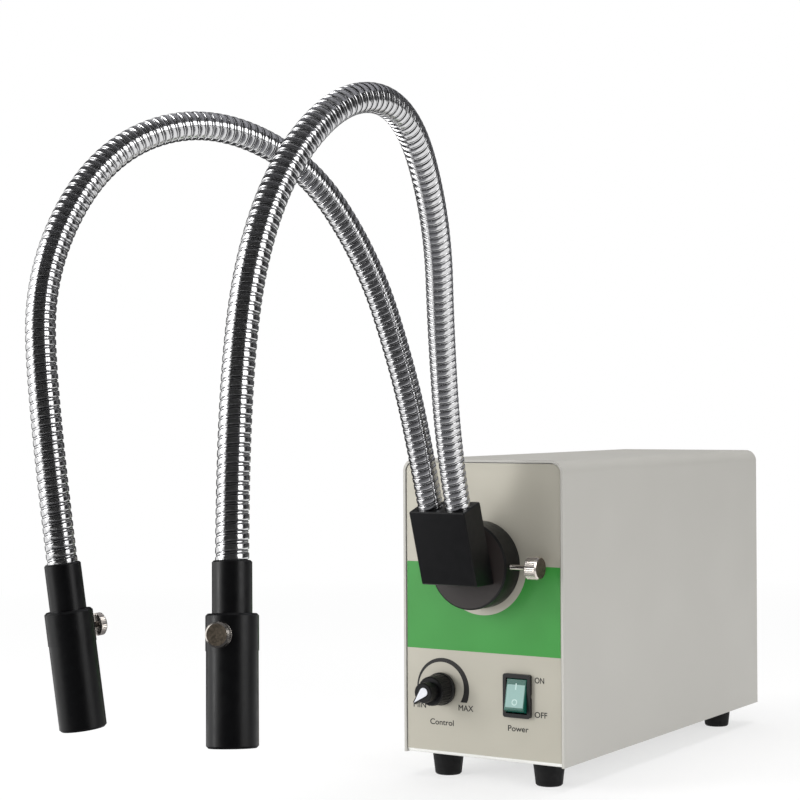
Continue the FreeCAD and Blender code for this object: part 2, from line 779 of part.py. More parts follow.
def screw_direction(points, turn):
    """The direction square to the barrel that lies at a turn from the right, seen from above."""
    down = tip_frame(points)[1]
    wanted = V(math.cos(math.radians(turn)), math.sin(math.radians(turn)), 0)
    return (wanted - down * wanted.dot(down)).normalize()


# ---------------------------------------------------------------- knob and potentiometer
def pointing(angle):
    """The directions along and across a pointer that lies at an angle in the panel's plane."""
    a = math.radians(angle)
    return V(math.cos(a), 0, math.sin(a)), V(-math.sin(a), 0, math.cos(a))


def make_knob_body():
    """The control knob: a skirt, a fluted body, a narrower cap with a nose under the pointer, and a bore."""
    recess_r = KNOB_BODY_R - KNOB_WALL
    bore_end = KNOB_L - KNOB_FACE_T
    shoulder = KNOB_L - KNOB_CAP_L
    profile = [
        (recess_r, 0),
        (KNOB_SKIRT_R, 0),
        (KNOB_SKIRT_R, KNOB_SKIRT_L),
        (KNOB_BODY_R, KNOB_SKIRT_L + KNOB_EDGE),
        (KNOB_SHOULDER_R, shoulder - KNOB_EDGE),
        (KNOB_SHOULDER_R - KNOB_EDGE, shoulder),
        (KNOB_CAP_R, shoulder),
        (KNOB_CAP_R, KNOB_L - KNOB_EDGE),
        (KNOB_CAP_R - KNOB_EDGE, KNOB_L),
        (0, KNOB_L),
        (0, bore_end),
        (SHAFT_R + GLUE_GAP, bore_end),
        (SHAFT_R + GLUE_GAP, BUSHING_OUT),
        (recess_r, BUSHING_OUT),
    ]
    outward = FRONT_TO_BACK * -1
    base = V(KNOB_X, LABEL_FACE - KNOB_OFF_FACE, KNOB_Z)
    knob = turned(profile, base, outward)
    along, across = pointing(POINTER_REST)
    root, tip = base + outward * shoulder, base + outward * shoulder + along * NOSE_REACH
    nose = prism([root + across * (NOSE_ROOT_W / 2), tip + across * (NOSE_TIP_W / 2),
                  tip - across * (NOSE_TIP_W / 2), root - across * (NOSE_ROOT_W / 2)], outward * KNOB_CAP_L)
    flutes = []
    off = KNOB_FLUTE_R - KNOB_FLUTE_DEPTH
    for k in range(KNOB_FLUTE_COUNT):
        spoke = pointing(360.0 * k / KNOB_FLUTE_COUNT)[0]
        low = base + spoke * (KNOB_BODY_R + off) + outward * (KNOB_SKIRT_L + 2 * KNOB_EDGE)
        high = base + spoke * (KNOB_SHOULDER_R + off) + outward * (shoulder + KNOB_EDGE)
        flutes.append(rod(KNOB_FLUTE_R, low, high))
    knob = joined([without(knob, flutes), nose.cut(rod(SHAFT_R + GLUE_GAP, base, base + outward * bore_end))])
    return knob.cut(pointer_shape(0))


def pointer_shape(raise_by):
    """The teardrop pointer in the knob's front, its tip outward at the rest angle."""
    front = LABEL_FACE - KNOB_OFF_FACE - KNOB_L
    along, across = pointing(POINTER_REST)
    axis = V(KNOB_X, front - raise_by, KNOB_Z)
    centre, tip = axis - along * POINTER_BACK, axis + along * POINTER_REACH
    thick = FRONT_TO_BACK * (POINTER_T / 2 + raise_by)
    touch = math.acos(POINTER_R / (tip - centre).Length)
    ahead, beside = along * (POINTER_R * math.cos(touch)), across * (POINTER_R * math.sin(touch))
    disc = Part.makeCylinder(POINTER_R, thick.Length, centre, FRONT_TO_BACK)
    return joined([disc, prism([centre, centre + ahead + beside, tip, centre + ahead - beside], thick)])


def make_knob_pointer():
    """The white pointer, half sunk in the knob's front."""
    return pointer_shape(POINTER_T / 2)


def make_potentiometer_shaft():
    """The shaft that the knob turns, with a flat at its end."""
    y0, y1 = LABEL_FACE - SHAFT_OUT, PANEL_BACK + POT_L / 2
    return along_y(SHAFT_R, KNOB_X, KNOB_Z, y0, y1)


def make_potentiometer_body():
    """The potentiometer's can and its threaded bushing, with three solder tags."""
    can = along_y(POT_R, KNOB_X, KNOB_Z, PANEL_BACK, PANEL_BACK + POT_L)
    bushing = along_y(BUSHING_R, KNOB_X, KNOB_Z, LABEL_FACE - BUSHING_OUT + 1, PANEL_BACK + 1)
    tags = [block(KNOB_X + dx - 0.8, KNOB_X + dx + 0.8, PANEL_BACK + 3, PANEL_BACK + 3.6,
                  KNOB_Z - POT_R - 5, KNOB_Z)
            for dx in (-5, 0, 5)]
    bore = along_y(SHAFT_R + TURN_PLAY, KNOB_X, KNOB_Z, LABEL_FACE - 2 * BUSHING_OUT,
                   PANEL_BACK + POT_L / 2 + TURN_PLAY)
    return joined([can, bushing] + tags).cut(bore)


def make_potentiometer_nut():
    """The hexagon nut in front of the panel, hidden in the knob."""
    nut = hexagon(POT_NUT_R, V(KNOB_X, LABEL_FACE, KNOB_Z), FRONT_TO_BACK * -POT_NUT_T)
    return nut.cut(along_y(BUSHING_R + GLUE_GAP, KNOB_X, KNOB_Z, LABEL_FACE - 2 * POT_NUT_T, LABEL_FACE + 1))


# ---------------------------------------------------------------- power switch
ROCKER_AXIS = V(SWITCH_X, LABEL_FACE + ROCKER_AXIS_IN, SWITCH_Z)


def make_switch_bezel():
    """The switch's frame and body, open in front for the rocker."""
    frame = rounded_plate(BEZEL_W, BEZEL_H, BEZEL_R, BEZEL_T)
    frame.translate(V(SWITCH_X, LABEL_FACE - BEZEL_T, SWITCH_Z))
    body = block(SWITCH_X - SWITCH_BODY_W / 2, SWITCH_X + SWITCH_BODY_W / 2, LABEL_FACE - BEZEL_T / 2,
                 LABEL_FACE + SWITCH_BODY_L, SWITCH_Z - SWITCH_BODY_H / 2, SWITCH_Z + SWITCH_BODY_H / 2)
    half_w, half_h = ROCKER_W / 2 + SIDE_PLAY, ROCKER_R + SIDE_PLAY
    well = block(SWITCH_X - half_w, SWITCH_X + half_w,
                 LABEL_FACE - 2 * BEZEL_T, ROCKER_AXIS.y + ROCKER_R + SIDE_PLAY,
                 SWITCH_Z - half_h, SWITCH_Z + half_h)
    across = LEFT_TO_RIGHT * BEZEL_W
    pin_hole = rod(ROCKER_PIN_R + TURN_PLAY, ROCKER_AXIS - across, ROCKER_AXIS + across)
    return joined([frame, body]).cut(well).cut(pin_hole)


def make_switch_rocker():
    """The rocker: round ends about its pins and a flat front, resting with its top pressed."""
    half = LEFT_TO_RIGHT * (ROCKER_W / 2)
    drum = rod(ROCKER_R, ROCKER_AXIS - half, ROCKER_AXIS + half)
    face_y, back_y = ROCKER_AXIS.y - ROCKER_FACE_OUT, ROCKER_AXIS.y + ROCKER_BACK_IN
    drum = drum.common(block(SWITCH_X - ROCKER_W, SWITCH_X + ROCKER_W, face_y, back_y,
                             SWITCH_Z - 2 * ROCKER_R, SWITCH_Z + 2 * ROCKER_R))
    drum = drum.makeFillet(ROCKER_EDGE, [e for e in drum.Edges if e.BoundBox.YMax < face_y + 0.01])
    pin = LEFT_TO_RIGHT * (SWITCH_BODY_W / 2 - GLUE_GAP)
    rocker = joined([drum, rod(ROCKER_PIN_R, ROCKER_AXIS - pin, ROCKER_AXIS + pin)])
    rocker.rotate(ROCKER_AXIS, LEFT_TO_RIGHT, -ROCKER_TILT)
    return rocker


def make_switch_terminals():
    """Four blades on the back of the switch."""
    back = LABEL_FACE + SWITCH_BODY_L
    blades = []
    for side in (-1, 1):
        for end in (-1, 1):
            x, z = SWITCH_X + side * SWITCH_BODY_W / 4, SWITCH_Z + end * SWITCH_BODY_H / 4
            blades.append(block(x - TERMINAL_T / 2, x + TERMINAL_T / 2, back, back + TERMINAL_L,
                                z - TERMINAL_W / 2, z + TERMINAL_W / 2))
    return blades


# ---------------------------------------------------------------- fan
FAN_FRONT = REAR_INSIDE - FAN_T


def make_fan_frame():
    """The fan's square flanges, round duct, motor plate and its three arms."""
    shapes = []
    for y in (FAN_FRONT, REAR_INSIDE - FAN_FLANGE_T):
        flange = rounded_plate(FAN_SIZE, FAN_SIZE, FAN_CORNER_R, FAN_FLANGE_T)
        flange.translate(V(0, y, PORT_Z))
        shapes.append(flange)
    shapes.append(along_y(FAN_DUCT_R + FAN_WALL_T, 0, PORT_Z, FAN_FRONT, REAR_INSIDE))
    frame = joined(shapes).cut(along_y(FAN_DUCT_R, 0, PORT_Z, FAN_FRONT - 1, REAR_INSIDE + 1))
    plate = along_y(FAN_HUB_R, 0, PORT_Z, FAN_FRONT, FAN_FRONT + FAN_PLATE_T)
    arms = []
    for k in range(3):
        arm = block(FAN_HUB_R - 1, FAN_DUCT_R + FAN_WALL_T / 2, FAN_FRONT, FAN_FRONT + FAN_PLATE_T,
                    -FAN_ARM_W / 2, FAN_ARM_W / 2)
        arm.rotate(V(0, 0, 0), FRONT_TO_BACK, 120.0 * k + 90)
        arm.translate(V(0, 0, PORT_Z))
        arms.append(arm)
    spindle = along_y(M3_R, 0, PORT_Z, FAN_FRONT + FAN_PLATE_T / 2, FAN_FRONT + FAN_SPINDLE_L)
    frame = joined([frame, plate, spindle] + arms)
    holes = [along_y(M4_R + HOLE_PLAY, x, z, FAN_FRONT - 1, REAR_INSIDE + 1) for x, z in FAN_HOLES]
    return without(frame, holes)


def make_fan_rotor():
    """The hub and its pitched blades."""
    y0, y1 = FAN_FRONT + FAN_PLATE_T + FAN_RUN_GAP, REAR_INSIDE - FAN_BACK_GAP
    chord = (y1 - y0 - 2 * FAN_BLADE_INSET) / math.sin(math.radians(FAN_ROOT_PITCH))
    hub = along_y(FAN_HUB_R, 0, PORT_Z, y0, y1)
    blades = []
    for k in range(FAN_BLADE_COUNT):
        sections = []
        for radius, pitch in ((FAN_HUB_R - FAN_BLADE_INSET, FAN_ROOT_PITCH), (FAN_BLADE_R, FAN_TIP_PITCH)):
            a = math.radians(pitch)
            u, w = V(0, math.sin(a), math.cos(a)), V(0, math.cos(a), -math.sin(a))
            centre = V(radius, (y0 + y1) / 2, 0)
            corners = [centre + u * (s * chord / 2) + w * (t * FAN_BLADE_T / 2)
                       for s, t in ((-1, -1), (1, -1), (1, 1), (-1, 1))]
            sections.append(Part.makePolygon(corners + corners[:1]))
        blade = Part.makeLoft(sections, True, True)
        blade.rotate(V(0, 0, 0), FRONT_TO_BACK, 360.0 * k / FAN_BLADE_COUNT)
        blade.translate(V(0, 0, PORT_Z))
        blades.append(blade)
    swept = along_y(FAN_BLADE_R, 0, PORT_Z, y0, y1)
    rotor = joined([hub] + [b.common(swept) for b in blades])
    return rotor.cut(along_y(M3_R + TURN_PLAY, 0, PORT_Z, y0 - 1, FAN_FRONT + FAN_SPINDLE_L + TURN_PLAY))


def make_fan_guard():
    """The finger guard: flat rings, crossed arms and four eyes, on the outside of the back wall."""
    y0, y1 = REAR_FACE, REAR_FACE + GUARD_T
    shapes = [along_y(GUARD_RADII[0] - GUARD_WIRE, 0, PORT_Z, y0, y1).cut(
        along_y(GUARD_RADII[0] / 3, 0, PORT_Z, y0 - 1, y1 + 1))]
    for radius in GUARD_RADII:
        ring = along_y(radius + GUARD_WIRE / 2, 0, PORT_Z, y0, y1)
        shapes.append(ring.cut(along_y(radius - GUARD_WIRE / 2, 0, PORT_Z, y0 - 1, y1 + 1)))
    reach = FAN_HOLE_PITCH / math.sqrt(2)
    for k in range(4):
        arm = block(GUARD_RADII[0] / 2, reach, y0, y1, -GUARD_WIRE / 2, GUARD_WIRE / 2)
        arm.rotate(V(0, 0, 0), FRONT_TO_BACK, 90.0 * k + 45)
        arm.translate(V(0, 0, PORT_Z))
        shapes.append(arm)
    shapes += [along_y(GUARD_LUG_R, x, z, y0, y1) for x, z in FAN_HOLES]
    holes = [along_y(M4_R + HOLE_PLAY, x, z, y0 - 1, y1 + 1) for x, z in FAN_HOLES]
    return without(joined(shapes), holes)


def make_fan_screws():
    """Four screws through the guard and the back wall into the fan's corners."""
    inward = FRONT_TO_BACK * -1
    return [pan_screw(M4_R, M4_HEAD_R, M4_HEAD_H, FAN_SCREW_L, V(x, REAR_FACE + GUARD_T, z), inward)
            for x, z in FAN_HOLES]


# ---------------------------------------------------------------- mains inlet
SOCKET_Z = INLET_Z + SOCKET_RAISE
DRAWER_Z = INLET_Z - DRAWER_DROP
INLET_FACE = REAR_FACE + INLET_FLANGE_T


def make_inlet_housing():
    """The three-pin appliance inlet, with a slot below its socket for the fuse drawer."""
    flange = rounded_plate(INLET_FLANGE_W, INLET_FLANGE_H, 2.0, INLET_FLANGE_T)
    flange.translate(V(INLET_X, REAR_FACE, INLET_Z))
    body = block(INLET_X - INLET_W / 2, INLET_X + INLET_W / 2, INLET_FACE - INLET_L, REAR_FACE + 1,
                 INLET_Z - INLET_H / 2, INLET_Z + INLET_H / 2)
    w, h, c = SOCKET_W / 2, SOCKET_H / 2, SOCKET_CORNER
    outline = [(-w, -h), (w, -h), (w, h - c), (w - c, h), (-w + c, h), (-w, h - c)]
    y0 = INLET_FACE - SOCKET_DEPTH
    socket = prism([V(INLET_X + x, y0, SOCKET_Z + z) for x, z in outline], FRONT_TO_BACK * 2 * SOCKET_DEPTH)
    slot = block(INLET_X - DRAWER_W / 2 - SIDE_PLAY, INLET_X + DRAWER_W / 2 + SIDE_PLAY,
                 INLET_FACE - DRAWER_L - SIDE_PLAY, INLET_FACE + 1,
                 DRAWER_Z - DRAWER_H / 2 - SIDE_PLAY, DRAWER_Z + DRAWER_H / 2 + SIDE_PLAY)
    holes = [along_y(0.6, INLET_X + x, SOCKET_Z + z, y0 - INLET_L, y0 + 1) for x, z in inlet_pin_places()]
    return without(joined([flange, body]), [socket, slot] + holes)


def inlet_pin_places():
    """The three pins' places in the socket: line, neutral and the raised earth pin."""
    low = -PIN_EARTH_RAISE / 2
    return [(-PIN_SPACING, low), (PIN_SPACING, low), (0, low + PIN_EARTH_RAISE)]


def make_inlet_pins():
    """Three flat pins that stand in the socket, each with a wire tail through the housing's back."""
    solids = []
    for x, z in inlet_pin_places():
        root, tail = INLET_FACE - SOCKET_DEPTH, INLET_FACE - INLET_L
        pin = block(INLET_X + x - PIN_W / 2, INLET_X + x + PIN_W / 2, root, INLET_FACE - PIN_SHORT,
                    SOCKET_Z + z - PIN_H / 2, SOCKET_Z + z + PIN_H / 2)
        stem = along_y(0.6 - GLUE_GAP, INLET_X + x, SOCKET_Z + z, tail - 6, root + 1)
        solids.append(joined([pin, stem]))
    return solids


def make_fuse_drawer():
    """The fuse drawer, with a finger lip and a trough for the fuse."""
    x0, x1 = INLET_X - DRAWER_W / 2, INLET_X + DRAWER_W / 2
    z0, z1 = DRAWER_Z - DRAWER_H / 2, DRAWER_Z + DRAWER_H / 2
    tray = block(x0, x1, INLET_FACE - DRAWER_L, INLET_FACE + DRAWER_LIP, z0, z1)
    trough_y = INLET_FACE - DRAWER_L / 2
    trough = rod(2.4, V(INLET_X - 9, trough_y, z1), V(INLET_X + 9, trough_y, z1))
    notch = block(INLET_X - 5, INLET_X + 5, INLET_FACE + DRAWER_LIP / 2, INLET_FACE + 2 * DRAWER_LIP,
                  z0 - 1, z0 + 1.5)
    return tray.cut(trough).cut(notch)


# ---------------------------------------------------------------- lamp and glass
HOLDER_FACE = PANEL_BACK + HOLDER_Y
LAMP_FACE = PANEL_BACK + LAMP_Y


def standing_plate(width, y, height_above, foot):
    """A plate that stands on the base across the case, with a foot bent backwards."""
    plate = block(-width / 2, width / 2, y, y + SHEET_T, FLOOR_TOP, PORT_Z + height_above)
    flange = block(-width / 2, width / 2, y, y + foot, FLOOR_TOP, FLOOR_TOP + SHEET_T)
    return joined([plate, flange])


def make_heat_glass_holder():
    """The standing plate and cup that hold the heat-absorbing glass behind the port."""
    cup_r = GLASS_R + GLUE_GAP + HOLDER_CUP_WALL
    y = HOLDER_FACE
    cup = along_y(cup_r, 0, PORT_Z, y, y + SHEET_T + GLASS_T)
    plate = joined([standing_plate(HOLDER_W, y, cup_r, BRACKET_FOOT / 2), cup])
    return without(plate, [along_y(HOLDER_OPEN_R, 0, PORT_Z, y - 1, y + GLASS_T),
                           along_y(GLASS_R + GLUE_GAP, 0, PORT_Z, y + SHEET_T, y + 4 * GLASS_T)])


def make_heat_glass():
    """The round heat-absorbing glass."""
    y = HOLDER_FACE + SHEET_T
    return along_y(GLASS_R, 0, PORT_Z, y, y + GLASS_T)


def dish(radius, neck_radius, start, depth):
    """Points on an elliptic dish, from its rim back to its neck."""
    angles = [math.pi / 2 * k / DISH_STEP_COUNT for k in range(DISH_STEP_COUNT + 1)]
    reach = radius - neck_radius
    return [(neck_radius + reach * math.cos(a), start + (depth - start) * math.sin(a)) for a in angles]


def make_lamp_reflector():
    """The faceted glass reflector: a flat rim, an elliptic dish and a tubular neck."""
    rim_r, inner_r = LAMP_R - LAMP_RIM_STEP, LAMP_R - LAMP_RIM_STEP - LAMP_WALL
    end = LAMP_DEPTH + LAMP_NECK_L
    outside = dish(rim_r, LAMP_NECK_R, LAMP_RIM_T, LAMP_DEPTH)
    inside = dish(inner_r, LAMP_NECK_R - 2 * LAMP_WALL, 0, LAMP_DEPTH - LAMP_WALL)
    bore = [(BULB_R + GLUE_GAP, end), (BULB_R + GLUE_GAP, LAMP_DEPTH - LAMP_WALL)]
    profile = [(LAMP_R, 0), (LAMP_R, LAMP_RIM_T)] + outside + [(LAMP_NECK_R, end)] + bore + inside[::-1]
    return turned(profile, V(0, LAMP_FACE, PORT_Z), FRONT_TO_BACK)


def make_lamp_bulb():
    """The halogen capsule on the reflector's axis."""
    end = LAMP_FACE + LAMP_DEPTH + LAMP_NECK_L
    tube = along_y(BULB_R, 0, PORT_Z, end - BULB_L, end)
    dome = Part.makeSphere(BULB_R, V(0, end - BULB_L, PORT_Z), FRONT_TO_BACK * -1, 0, 90, 360)
    return joined([tube, dome])


def make_lamp_socket():
    """The ceramic lamp socket, with two lead holes."""
    y0 = LAMP_FACE + LAMP_DEPTH + LAMP_NECK_L
    half = SOCKET_BLOCK / 2
    solid = block(-half, half, y0, y0 + SOCKET_BLOCK_L, PORT_Z - half * 0.7, PORT_Z + half * 0.7)
    pin_bores = [along_y(1.2, side * half / 2, PORT_Z, y0 + 3, y0 + 2 * SOCKET_BLOCK_L) for side in (-1, 1)]
    return without(solid, pin_bores)


def make_lamp_bracket():
    """The standing plate that the reflector's rim rests against."""
    y = LAMP_FACE + LAMP_RIM_T
    plate = standing_plate(BRACKET_W, y, LAMP_R + 3, BRACKET_FOOT)
    return plate.cut(along_y(LAMP_R - LAMP_RIM_STEP + GLUE_GAP, 0, PORT_Z, y - 1, y + SHEET_T + 1))


# ---------------------------------------------------------------- transformer and board
CORE_Y = FRONT + COIL_Y
CORE_LOW = FLOOR_TOP


def make_transformer_core():
    """The stacked iron core, with a window each side of its middle leg."""
    core = block(-CORE_W / 2, CORE_W / 2, CORE_Y - CORE_L / 2, CORE_Y + CORE_L / 2,
                 CORE_LOW, CORE_LOW + CORE_H)
    windows = []
    for side in (-1, 1):
        x0, x1 = sorted([side * CORE_LEG / 2, side * (CORE_W / 2 - CORE_YOKE)])
        windows.append(block(x0, x1, CORE_Y - CORE_L, CORE_Y + CORE_L, CORE_LOW + CORE_YOKE,
                             CORE_LOW + CORE_H - CORE_YOKE))
    return without(core, windows)


def make_transformer_coil():
    """The wound coil round the core's middle leg."""
    half_w = CORE_W / 2 - CORE_YOKE - SIDE_PLAY
    z0, z1 = CORE_LOW + CORE_YOKE + SIDE_PLAY, CORE_LOW + CORE_H - CORE_YOKE - SIDE_PLAY
    coil = block(-half_w, half_w, CORE_Y - COIL_L / 2, CORE_Y + COIL_L / 2, z0, z1)
    upright = [e for e in coil.Edges if e.BoundBox.ZLength > 1]
    coil = coil.makeFillet(4.0, upright)
    leg = CORE_LEG / 2 + SIDE_PLAY
    return coil.cut(block(-leg, leg, CORE_Y - CORE_L / 2 - SIDE_PLAY, CORE_Y + CORE_L / 2 + SIDE_PLAY,
                          CORE_LOW, CORE_LOW + CORE_H))


def make_transformer_frame():
    """The steel strap over the core, with two feet on the base."""
    outer_w, top = CORE_W / 2 + STRAP_T, CORE_LOW + CORE_H + STRAP_T
    y0, y1 = CORE_Y - CORE_L / 4, CORE_Y + CORE_L / 4
    strap = block(-outer_w, outer_w, y0, y1, FLOOR_TOP, top)
    strap = strap.cut(block(-CORE_W / 2, CORE_W / 2, y0 - 1, y1 + 1, FLOOR_TOP - 1, CORE_LOW + CORE_H))
    feet = []
    for side in (-1, 1):
        x0, x1 = sorted([side * CORE_W / 2, side * (CORE_W / 2 + STRAP_FOOT)])
        foot = block(x0, x1, y0, y1, FLOOR_TOP, FLOOR_TOP + STRAP_T)
        feet.append(foot)
    return joined([strap] + feet)


BOARD_FRONT = FRONT + BOARD_Y - BOARD_L / 2
BOARD_LOW = FLOOR_TOP + STANDOFF_H
BOARD_TOP = BOARD_LOW + BOARD_T
BOARD_HOLES = [
    (side * (BOARD_W / 2 - STANDOFF_INSET), FRONT + BOARD_Y + end * (BOARD_L / 2 - STANDOFF_INSET))
    for side in (-1, 1)
    for end in (-1, 1)
]


def make_dimmer_board():
    """The dimmer's printed circuit board."""
    board = block(-BOARD_W / 2, BOARD_W / 2, BOARD_FRONT, BOARD_FRONT + BOARD_L, BOARD_LOW, BOARD_TOP)
    return without(board, [rod(M3_R, V(x, y, BOARD_LOW - 1), V(x, y, BOARD_TOP + 1)) for x, y in BOARD_HOLES])


def make_board_standoffs():
    """Four spacers between the base and the board, each with a peg through the board."""
    solids = []
    for x, y in BOARD_HOLES:
        post = rod(STANDOFF_R, V(x, y, FLOOR_TOP), V(x, y, BOARD_LOW))
        solids.append(joined([post, rod(M3_R - GLUE_GAP, V(x, y, FLOOR_TOP), V(x, y, BOARD_TOP + 2))]))
    return solids


def make_heat_sink():
    """The finned heat sink that stands on the board."""
    y0 = BOARD_FRONT + BOARD_L - SINK_FIN_L - SINK_BASE - 2
    x0 = SINK_INSET - BOARD_W / 2
    shapes = [block(x0, x0 + SINK_W, y0, y0 + SINK_BASE, BOARD_TOP, BOARD_TOP + SINK_H)]
    for k in range(SINK_FIN_COUNT):
        x = x0 + k * (SINK_W - SINK_FIN_T) / (SINK_FIN_COUNT - 1)
        shapes.append(block(x, x + SINK_FIN_T, y0 + SINK_BASE - 0.5, y0 + SINK_BASE + SINK_FIN_L,
                            BOARD_TOP, BOARD_TOP + SINK_H))
    return joined(shapes)


def make_board_components():
    """Two capacitors, a ring choke and a terminal block on the board."""
    y = BOARD_FRONT + BOARD_L / 3
    solids = []
    for k in range(2):
        foot = V(BOARD_W / 2 - CAPACITOR_INSET - k * CAPACITOR_PITCH, y, BOARD_TOP)
        solids.append(rod(CAPACITOR_R, foot, foot + UP * CAPACITOR_H))
    centre = V(CHOKE_INSET - BOARD_W / 2, y, BOARD_TOP)
    ring = rod(CHOKE_R, centre, centre + UP * CHOKE_T)
    solids.append(ring.cut(rod(CHOKE_R / 2, centre - UP, centre + UP * (CHOKE_T + 1))))
    w, l, h = TERMINAL_BLOCK
    x0, y0 = BOARD_W / 2 - w - 4, BOARD_FRONT + BOARD_L - l - 9
    solids.append(block(x0, x0 + w, y0, y0 + l, BOARD_TOP, BOARD_TOP + h))
    return solids


# ---------------------------------------------------------------- all pieces
def write(node, shape):
    """Write one sub-part, one solid or a group of separate solids."""
    shape = Part.makeCompound(shape) if isinstance(shape, list) else shape
    shape.exportStep("parts/" + node + ".step")


def build():
    """Make and write every sub-part."""
    os.makedirs("parts", exist_ok=True)
    write("chassis", make_chassis())
    write("front_label", make_front_label())
    write("top_cover", make_top_cover())
    write("cover_screws", make_cover_screws())
    write("rubber_feet", make_rubber_feet())
    write("foot_screws", make_foot_screws())

    write("port_collar", make_port_collar())
    write("port_nut", make_port_nut())
    collar_axis = V(0, CLAMP_Y, PORT_Z)
    stud, head = thumb_screw(collar_axis, LEFT_TO_RIGHT, FERRULE_R + SIDE_PLAY, COLLAR_R + CLAMP_HEAD_OUT,
                             CLAMP_HEAD_R, CLAMP_HEAD_L, CLAMP_GROOVE_COUNT)
    write("port_screw_stud", stud)
    write("port_screw_head", head)

    write("guide_block", make_guide_block())
    write("guide_ferrule", make_guide_ferrule())
    write("input_fibres", make_input_fibres())
    roots = []
    for name, points, bends, turn in (
        ("left", LEFT_POINTS, LEFT_BENDS_AT, LEFT_SCREW_TURN),
        ("right", RIGHT_POINTS, RIGHT_BENDS_AT, RIGHT_SCREW_TURN),
    ):
        pieces, centres = make_neck(points, bends)
        roots.append(pieces[0])
        for part_name, piece in zip(("rise", "drop", "tip"), pieces[1:]):
            write(name + "_neck_" + part_name, piece)
        out = screw_direction(points, turn)
        write(name + "_end_ferrule", make_tip_ferrule(points))
        write(name + "_lens_barrel", make_lens_barrel(points, out))
        write(name + "_lens", make_lens(points))
        write(name + "_lens_ring", make_lens_ring(points))
        level = barrel_top(points) + tip_frame(points)[1] * LENS_SCREW_FROM_TOP
        stud, head = thumb_screw(level, out, TIP_FERRULE_R + SIDE_PLAY, BARREL_R + LENS_HEAD_OUT,
                                 LENS_HEAD_R, LENS_HEAD_L, LENS_GROOVE_COUNT)
        write(name + "_lens_screw_stud", stud)
        write(name + "_lens_screw_head", head)
    write("neck_roots", roots)

    write("knob_body", make_knob_body())
    write("knob_pointer", make_knob_pointer())
    write("potentiometer_shaft", make_potentiometer_shaft())
    write("potentiometer_body", make_potentiometer_body())
    write("potentiometer_nut", make_potentiometer_nut())
    write("switch_bezel", make_switch_bezel())
    write("switch_rocker", make_switch_rocker())
    write("switch_terminals", make_switch_terminals())

    write("fan_frame", make_fan_frame())
    write("fan_rotor", make_fan_rotor())
    write("fan_guard", make_fan_guard())
    write("fan_screws", make_fan_screws())
    write("inlet_housing", make_inlet_housing())
    write("inlet_pins", make_inlet_pins())
    write("fuse_drawer", make_fuse_drawer())

    write("heat_glass_holder", make_heat_glass_holder())
    write("heat_glass", make_heat_glass())
    write("lamp_reflector", make_lamp_reflector())
    write("lamp_bulb", make_lamp_bulb())
    write("lamp_socket", make_lamp_socket())
    write("lamp_bracket", make_lamp_bracket())
    write("transformer_core", make_transformer_core())
    write("transformer_coil", make_transformer_coil())
    write("transformer_frame", make_transformer_frame())
    write("dimmer_board", make_dimmer_board())
    write("board_standoffs", make_board_standoffs())
    write("heat_sink", make_heat_sink())
    write("board_components", make_board_components())


build()
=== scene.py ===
# %% [markdown]
# # A fibre optic illuminator with two goosenecks
#
# The object is a small lamp for a microscope. A halogen lamp in a sheet-metal case shines into a bundle of
# glass fibres, and the bundle divides into two metal goosenecks that stay where they are bent. Every part
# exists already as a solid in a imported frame, whose bodies move on joints. This lesson gives the solids
# their finishes, and builds in mesh code what a plain solid can't show: the wound hoses, threads, knurls,
# print and lettering.
#
# All lengths are in metres. The origin is on the bench under the middle of the case, and the front faces
# -Y.

import json
import math

import bmesh
import bpy
from mathutils import Matrix, Vector


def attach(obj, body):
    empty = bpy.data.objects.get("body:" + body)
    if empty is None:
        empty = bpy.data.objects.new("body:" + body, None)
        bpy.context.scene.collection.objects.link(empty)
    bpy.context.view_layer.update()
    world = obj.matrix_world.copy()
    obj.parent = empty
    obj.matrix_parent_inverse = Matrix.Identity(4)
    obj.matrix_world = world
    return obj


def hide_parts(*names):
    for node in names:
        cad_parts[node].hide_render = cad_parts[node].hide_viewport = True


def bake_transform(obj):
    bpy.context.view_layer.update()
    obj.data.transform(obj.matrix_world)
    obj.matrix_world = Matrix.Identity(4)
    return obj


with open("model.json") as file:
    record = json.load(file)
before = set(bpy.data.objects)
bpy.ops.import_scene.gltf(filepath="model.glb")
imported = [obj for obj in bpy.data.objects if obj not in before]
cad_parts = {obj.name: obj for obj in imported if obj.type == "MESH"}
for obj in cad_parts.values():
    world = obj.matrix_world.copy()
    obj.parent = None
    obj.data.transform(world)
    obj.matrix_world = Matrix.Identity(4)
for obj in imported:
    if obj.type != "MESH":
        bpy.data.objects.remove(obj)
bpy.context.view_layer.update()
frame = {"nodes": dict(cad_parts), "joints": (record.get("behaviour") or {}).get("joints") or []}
nodes = frame["nodes"]

# %% [markdown]
# ## Two small helpers
#
# Colours are written as the hex values that a screen shows, because that is how one picks them.
# Blender's shaders want linear light, so one function turns the first into the second.
#
# The other function adds one node to a material. Made by hand, a node takes a line for each property, value
# and link. With this function a whole material reads as a list of what it is made of.

# %% Colour and node helpers
MM = 0.001


def linear(hex_colour):
    """A colour from its sRGB hex value, as linear red, green and blue with an alpha of one."""
    parts = [int(hex_colour[k : k + 2], 16) / 255 for k in (1, 3, 5)]
    light = [p / 12.92 if p <= 0.04045 else ((p + 0.055) / 1.055) ** 2.4 for p in parts]
    return (*light, 1.0)


